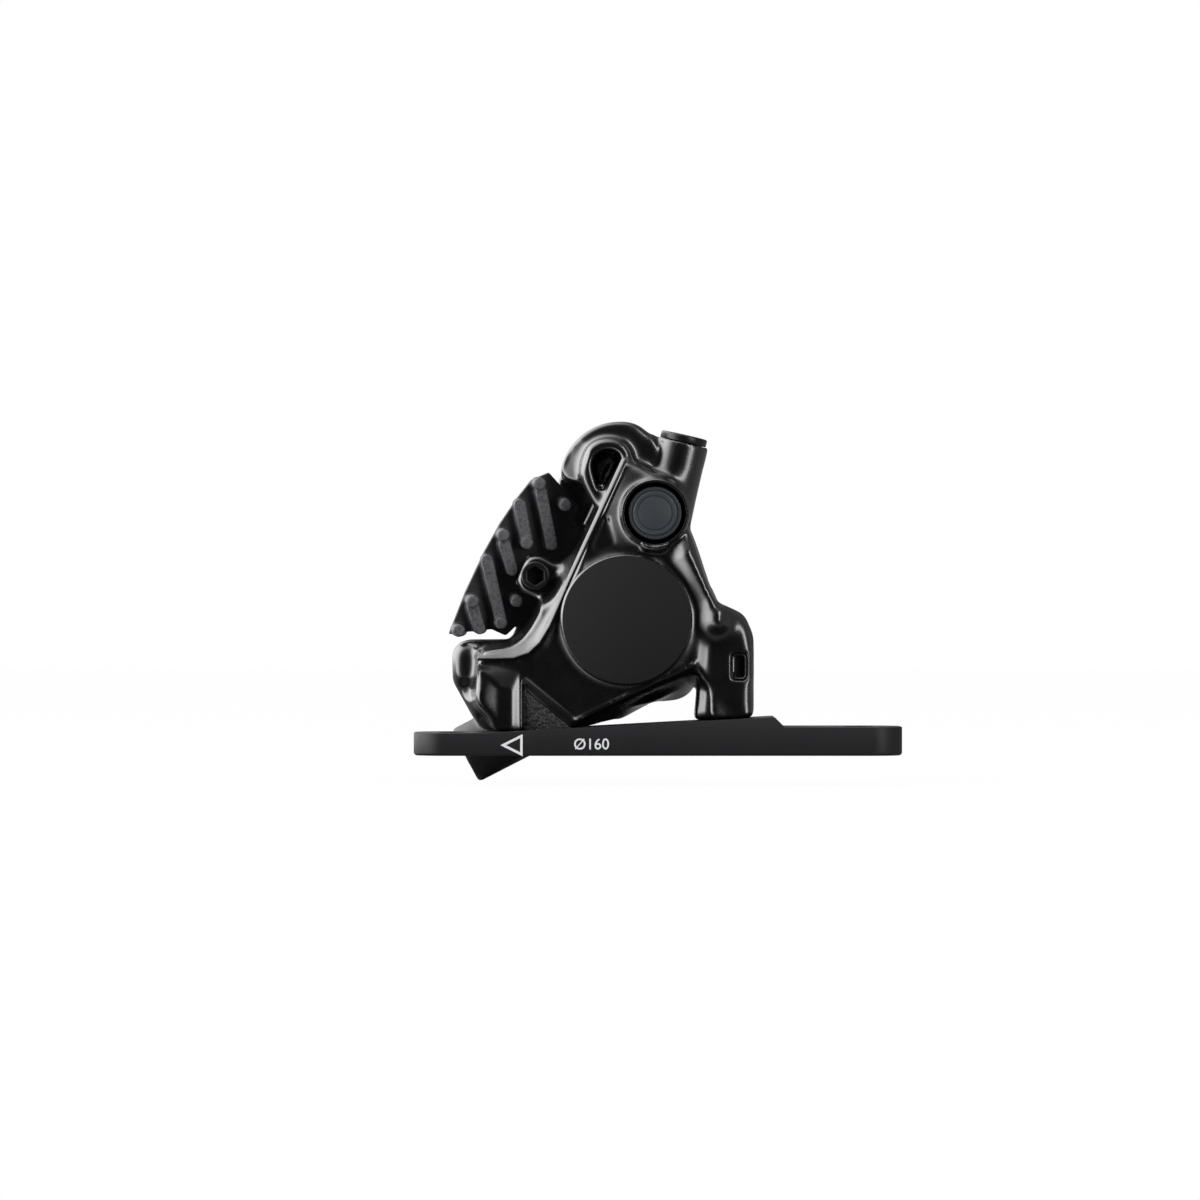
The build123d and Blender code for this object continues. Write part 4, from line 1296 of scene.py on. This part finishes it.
@dataclass
class PadSide:
    """One pad with its cooling fin: the cast fin, the stamped plate and the friction block.

    Attributes:
        side: Side of the rotor.
        lean: Direction of the fin from the piston's centre, in degrees from X towards Z.
        plate_depth: Distance of the fin's plate from the rotor's plane.
        bend: Distance from the piston's centre where the plate splays away from the rotor.
        splay: Angle at which it does, in degrees.
        rib_foot: Height over the plate where the painted light on the ribs starts.
        rib_height: Height over that foot where that painted light is strongest.
    """

    side: Side
    lean: float = 155.8
    plate_depth: float = 4.85
    bend: float = 13.0
    splay: float = 11.0
    rib_foot: float = 1.0
    rib_height: float = 1.6

    def build(self) -> list[bpy.types.Object]:
        """Build the pad's three pieces.

        Returns:
            The fin, the plate and the friction block.
        """
        body = self.side.value + "_pad"
        fin = Casting(body + "_fin", CAST_FIN, body, voxel=0.16, rounds=8).build()
        self.shade_tops(fin)
        plate = Machined(body + "_plate", PLATE_STEEL, body).build()
        friction = Machined(body + "_friction", FRICTION, body, edge=0.2).build()
        return [fin, plate, friction]

    def shade_tops(self, fin: bpy.types.Object) -> None:
        """Mark how far each corner stands out of the fin's plate, for the finish's painted light on the rib
        tops.

        Args:
            fin: The fin.
        """
        points = corners(fin.data)
        outward = 1 if self.side is Side.OUTBOARD else -1
        lean = math.radians(self.lean)
        arms = points[:, [0, 2]] - np.array(PISTON_CENTRE)
        reach = arms[:, 0] * math.cos(lean) + arms[:, 1] * math.sin(lean)
        plate = self.plate_depth + np.clip(reach - self.bend, 0, None) * math.tan(math.radians(self.splay))
        height = outward * (ROTOR_PLANE - points[:, 1]) - plate
        layer = fin.data.attributes.new("tops", "FLOAT", "POINT")
        layer.data.foreach_set("value", np.clip((height - self.rib_foot) / self.rib_height, 0, 1))


@dataclass
class Plug:
    """The round rubber plug over the bleed nipple, with its stepped rings."""

    front: float = -6.1
    profile: Line = ((0.0, 0.06), (2.6, 0.0), (2.78, 0.05), (2.9, 0.22), (3.0, 0.22), (3.1, 0.12),
                     (3.6, 0.08), (3.72, 0.14), (3.84, 0.42), (3.95, 0.42), (4.05, 0.3), (4.35, 0.28),
                     (4.52, 0.4), (4.55, 0.7), (4.55, 4.6), (2.65, 4.6), (2.65, 1.7), (0.0, 1.7))

    def build(self) -> list[bpy.types.Object]:
        """Turn the plug and put it in the CAD plug's place."""
        return [Turned("ringed_plug", PLUG, BOSS_CENTRE, self.front, self.profile, "nipple_cap",
                       "bleed_nipple_cap").build()]


@dataclass
class Adapter:
    """The bracket under the caliper, with its marks printed on the near side.

    Attributes:
        near_side: Y of the bracket's near side.
        side_margin: How near to that Y a corner belongs to the side.
        set_back: How far that side is set back, so that its marks stay inside the solid.
        ink: Thickness of the marks.
        arrow: Corners of the arrow, a triangle that points along the adapter.
        arrow_line: Width of its outline.
        label: The rotor's diameter in millimetres, after a diameter sign.
        label_place: Lower left corner of the label.
        label_size: Height of its line.
        label_weight: How much its strokes are thickened on each side.
    """

    near_side: float = -9.0
    side_margin: float = 0.1
    set_back: float = 0.04
    ink: float = 0.038
    arrow: Line = ((-27.0, 1.85), (-23.2, 3.75), (-23.2, -0.05))
    arrow_line: float = 0.42
    label: str = "\u00d8160"
    label_place: Place = (-14.5, 1.15)
    label_size: float = 2.65
    label_weight: float = 0.015

    def build(self) -> list[bpy.types.Object]:
        """Build the bracket and its marks.

        Returns:
            The bracket, the label and the arrow.
        """
        bracket = Machined("mount_bracket", ANODISED, edge=0.22).build()
        for corner in bracket.data.vertices:
            if corner.co.y < (self.near_side + self.side_margin) * MM:
                corner.co.y += self.set_back * MM
        return [bracket, self.rotor_size(), self.arrow_mark()]

    def rotor_size(self) -> bpy.types.Object:
        """Print the rotor's size.

        Returns:
            The label.
        """
        curve = bpy.data.curves.new("rotor_size", "FONT")
        curve.body = self.label
        curve.size = self.label_size * MM
        curve.offset = self.label_weight * MM
        text = bpy.data.objects.new("rotor_size_text", curve)
        bpy.context.scene.collection.objects.link(text)
        written = text.evaluated_get(bpy.context.evaluated_depsgraph_get())
        shape = bmesh.new()
        shape.from_mesh(bpy.data.meshes.new_from_object(written))
        bpy.data.objects.remove(text)
        upright = Matrix.Rotation(math.pi / 2, 3, "X")
        bmesh.ops.rotate(shape, verts=shape.verts, cent=(0, 0, 0), matrix=upright)
        return self.printed(shape, self.label_place, "rotor_size")

    def arrow_mark(self) -> bpy.types.Object:
        """Print the outlined triangle that points along the adapter.

        Returns:
            The arrow.
        """
        shape = bmesh.new()
        face = flat_face(shape, self.arrow, 0.0)
        bmesh.ops.inset_individual(shape, faces=[face], thickness=self.arrow_line * MM, use_even_offset=True)
        bmesh.ops.delete(shape, geom=[face], context="FACES_ONLY")
        return self.printed(shape, (0.0, 0.0), "arrow")

    def printed(self, shape: bmesh.types.BMesh, place: Place, name: str) -> bpy.types.Object:
        """Give a flat mark the ink's thickness and set it on the bracket's near side.

        Args:
            shape: Flat mark in the XZ plane, in metres.
            place: X and Z to move it by, in millimetres.
            name: Name of the new piece.

        Returns:
            The mark.
        """
        bmesh.ops.solidify(shape, geom=list(shape.faces), thickness=self.ink * MM)
        middle = sum((corner.co.y for corner in shape.verts), 0.0) / len(shape.verts)
        target = Vector((place[0], self.near_side + self.set_back / 2, place[1])) * MM
        bmesh.ops.translate(shape, verts=shape.verts, vec=target - Vector((0, middle, 0)))
        return crisp_piece(shape, name, PRINT)


@dataclass
class Fasteners:
    """Screws, axle, retainer, spring and nipple, each crisp with broken edges."""

    pieces: tuple[Machined, ...] = (
        Machined("body_bolts", OXIDE_STEEL, edge=0.15),
        Machined("bracket_bolts", OXIDE_STEEL, edge=0.15),
        Machined("pad_axle", OXIDE_STEEL, edge=0.1),
        Machined("pad_axle_clip", BRIGHT_STEEL, edge=0.06),
        Machined("pad_spring", SPRING_STEEL, edge=0.05),
        Machined("bleed_nipple", BRIGHT_STEEL, edge=0.1),
        Machined("bleed_screw", OXIDE_STEEL, "bleed_screw", 0.12),
    )

    def build(self) -> list[bpy.types.Object]:
        """Build each small piece."""
        return [piece.build() for piece in self.pieces]


@dataclass
class Hydraulics:
    """The pistons and the rubber seals, which keep their CAD meshes."""

    pistons: tuple[str, ...] = ("outer_piston", "inner_piston")
    seals: tuple[str, ...] = ("outer_piston_seal", "inner_piston_seal", "transfer_o_ring",
                              "bleed_screw_o_ring")

    def build(self) -> list[bpy.types.Object]:
        """Dress the CAD meshes.

        Returns:
            The pistons and seals.
        """
        finishes = dict.fromkeys(self.pistons, PISTON) | dict.fromkeys(self.seals, SEAL)
        for name, finish in finishes.items():
            dress(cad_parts[name], finish)
        return [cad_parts[name] for name in finishes]


def main() -> None:
    """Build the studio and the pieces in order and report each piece."""
    logging.basicConfig(level=logging.INFO, format="%(name)s: %(message)s")
    start = [list(corner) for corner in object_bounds()]
    Studio().build(start[0][2])
    assemblies = (Hydraulics(), OuterHalf(), InnerHalf(), PadSide(Side.OUTBOARD), PadSide(Side.INBOARD),
                  Plug(), Adapter(), Fasteners())
    for assembly in assemblies:
        for piece in assembly.build():
            log.info("%s: %d faces", piece.name, len(piece.data.polygons))


if __name__ == "__main__":
    main()
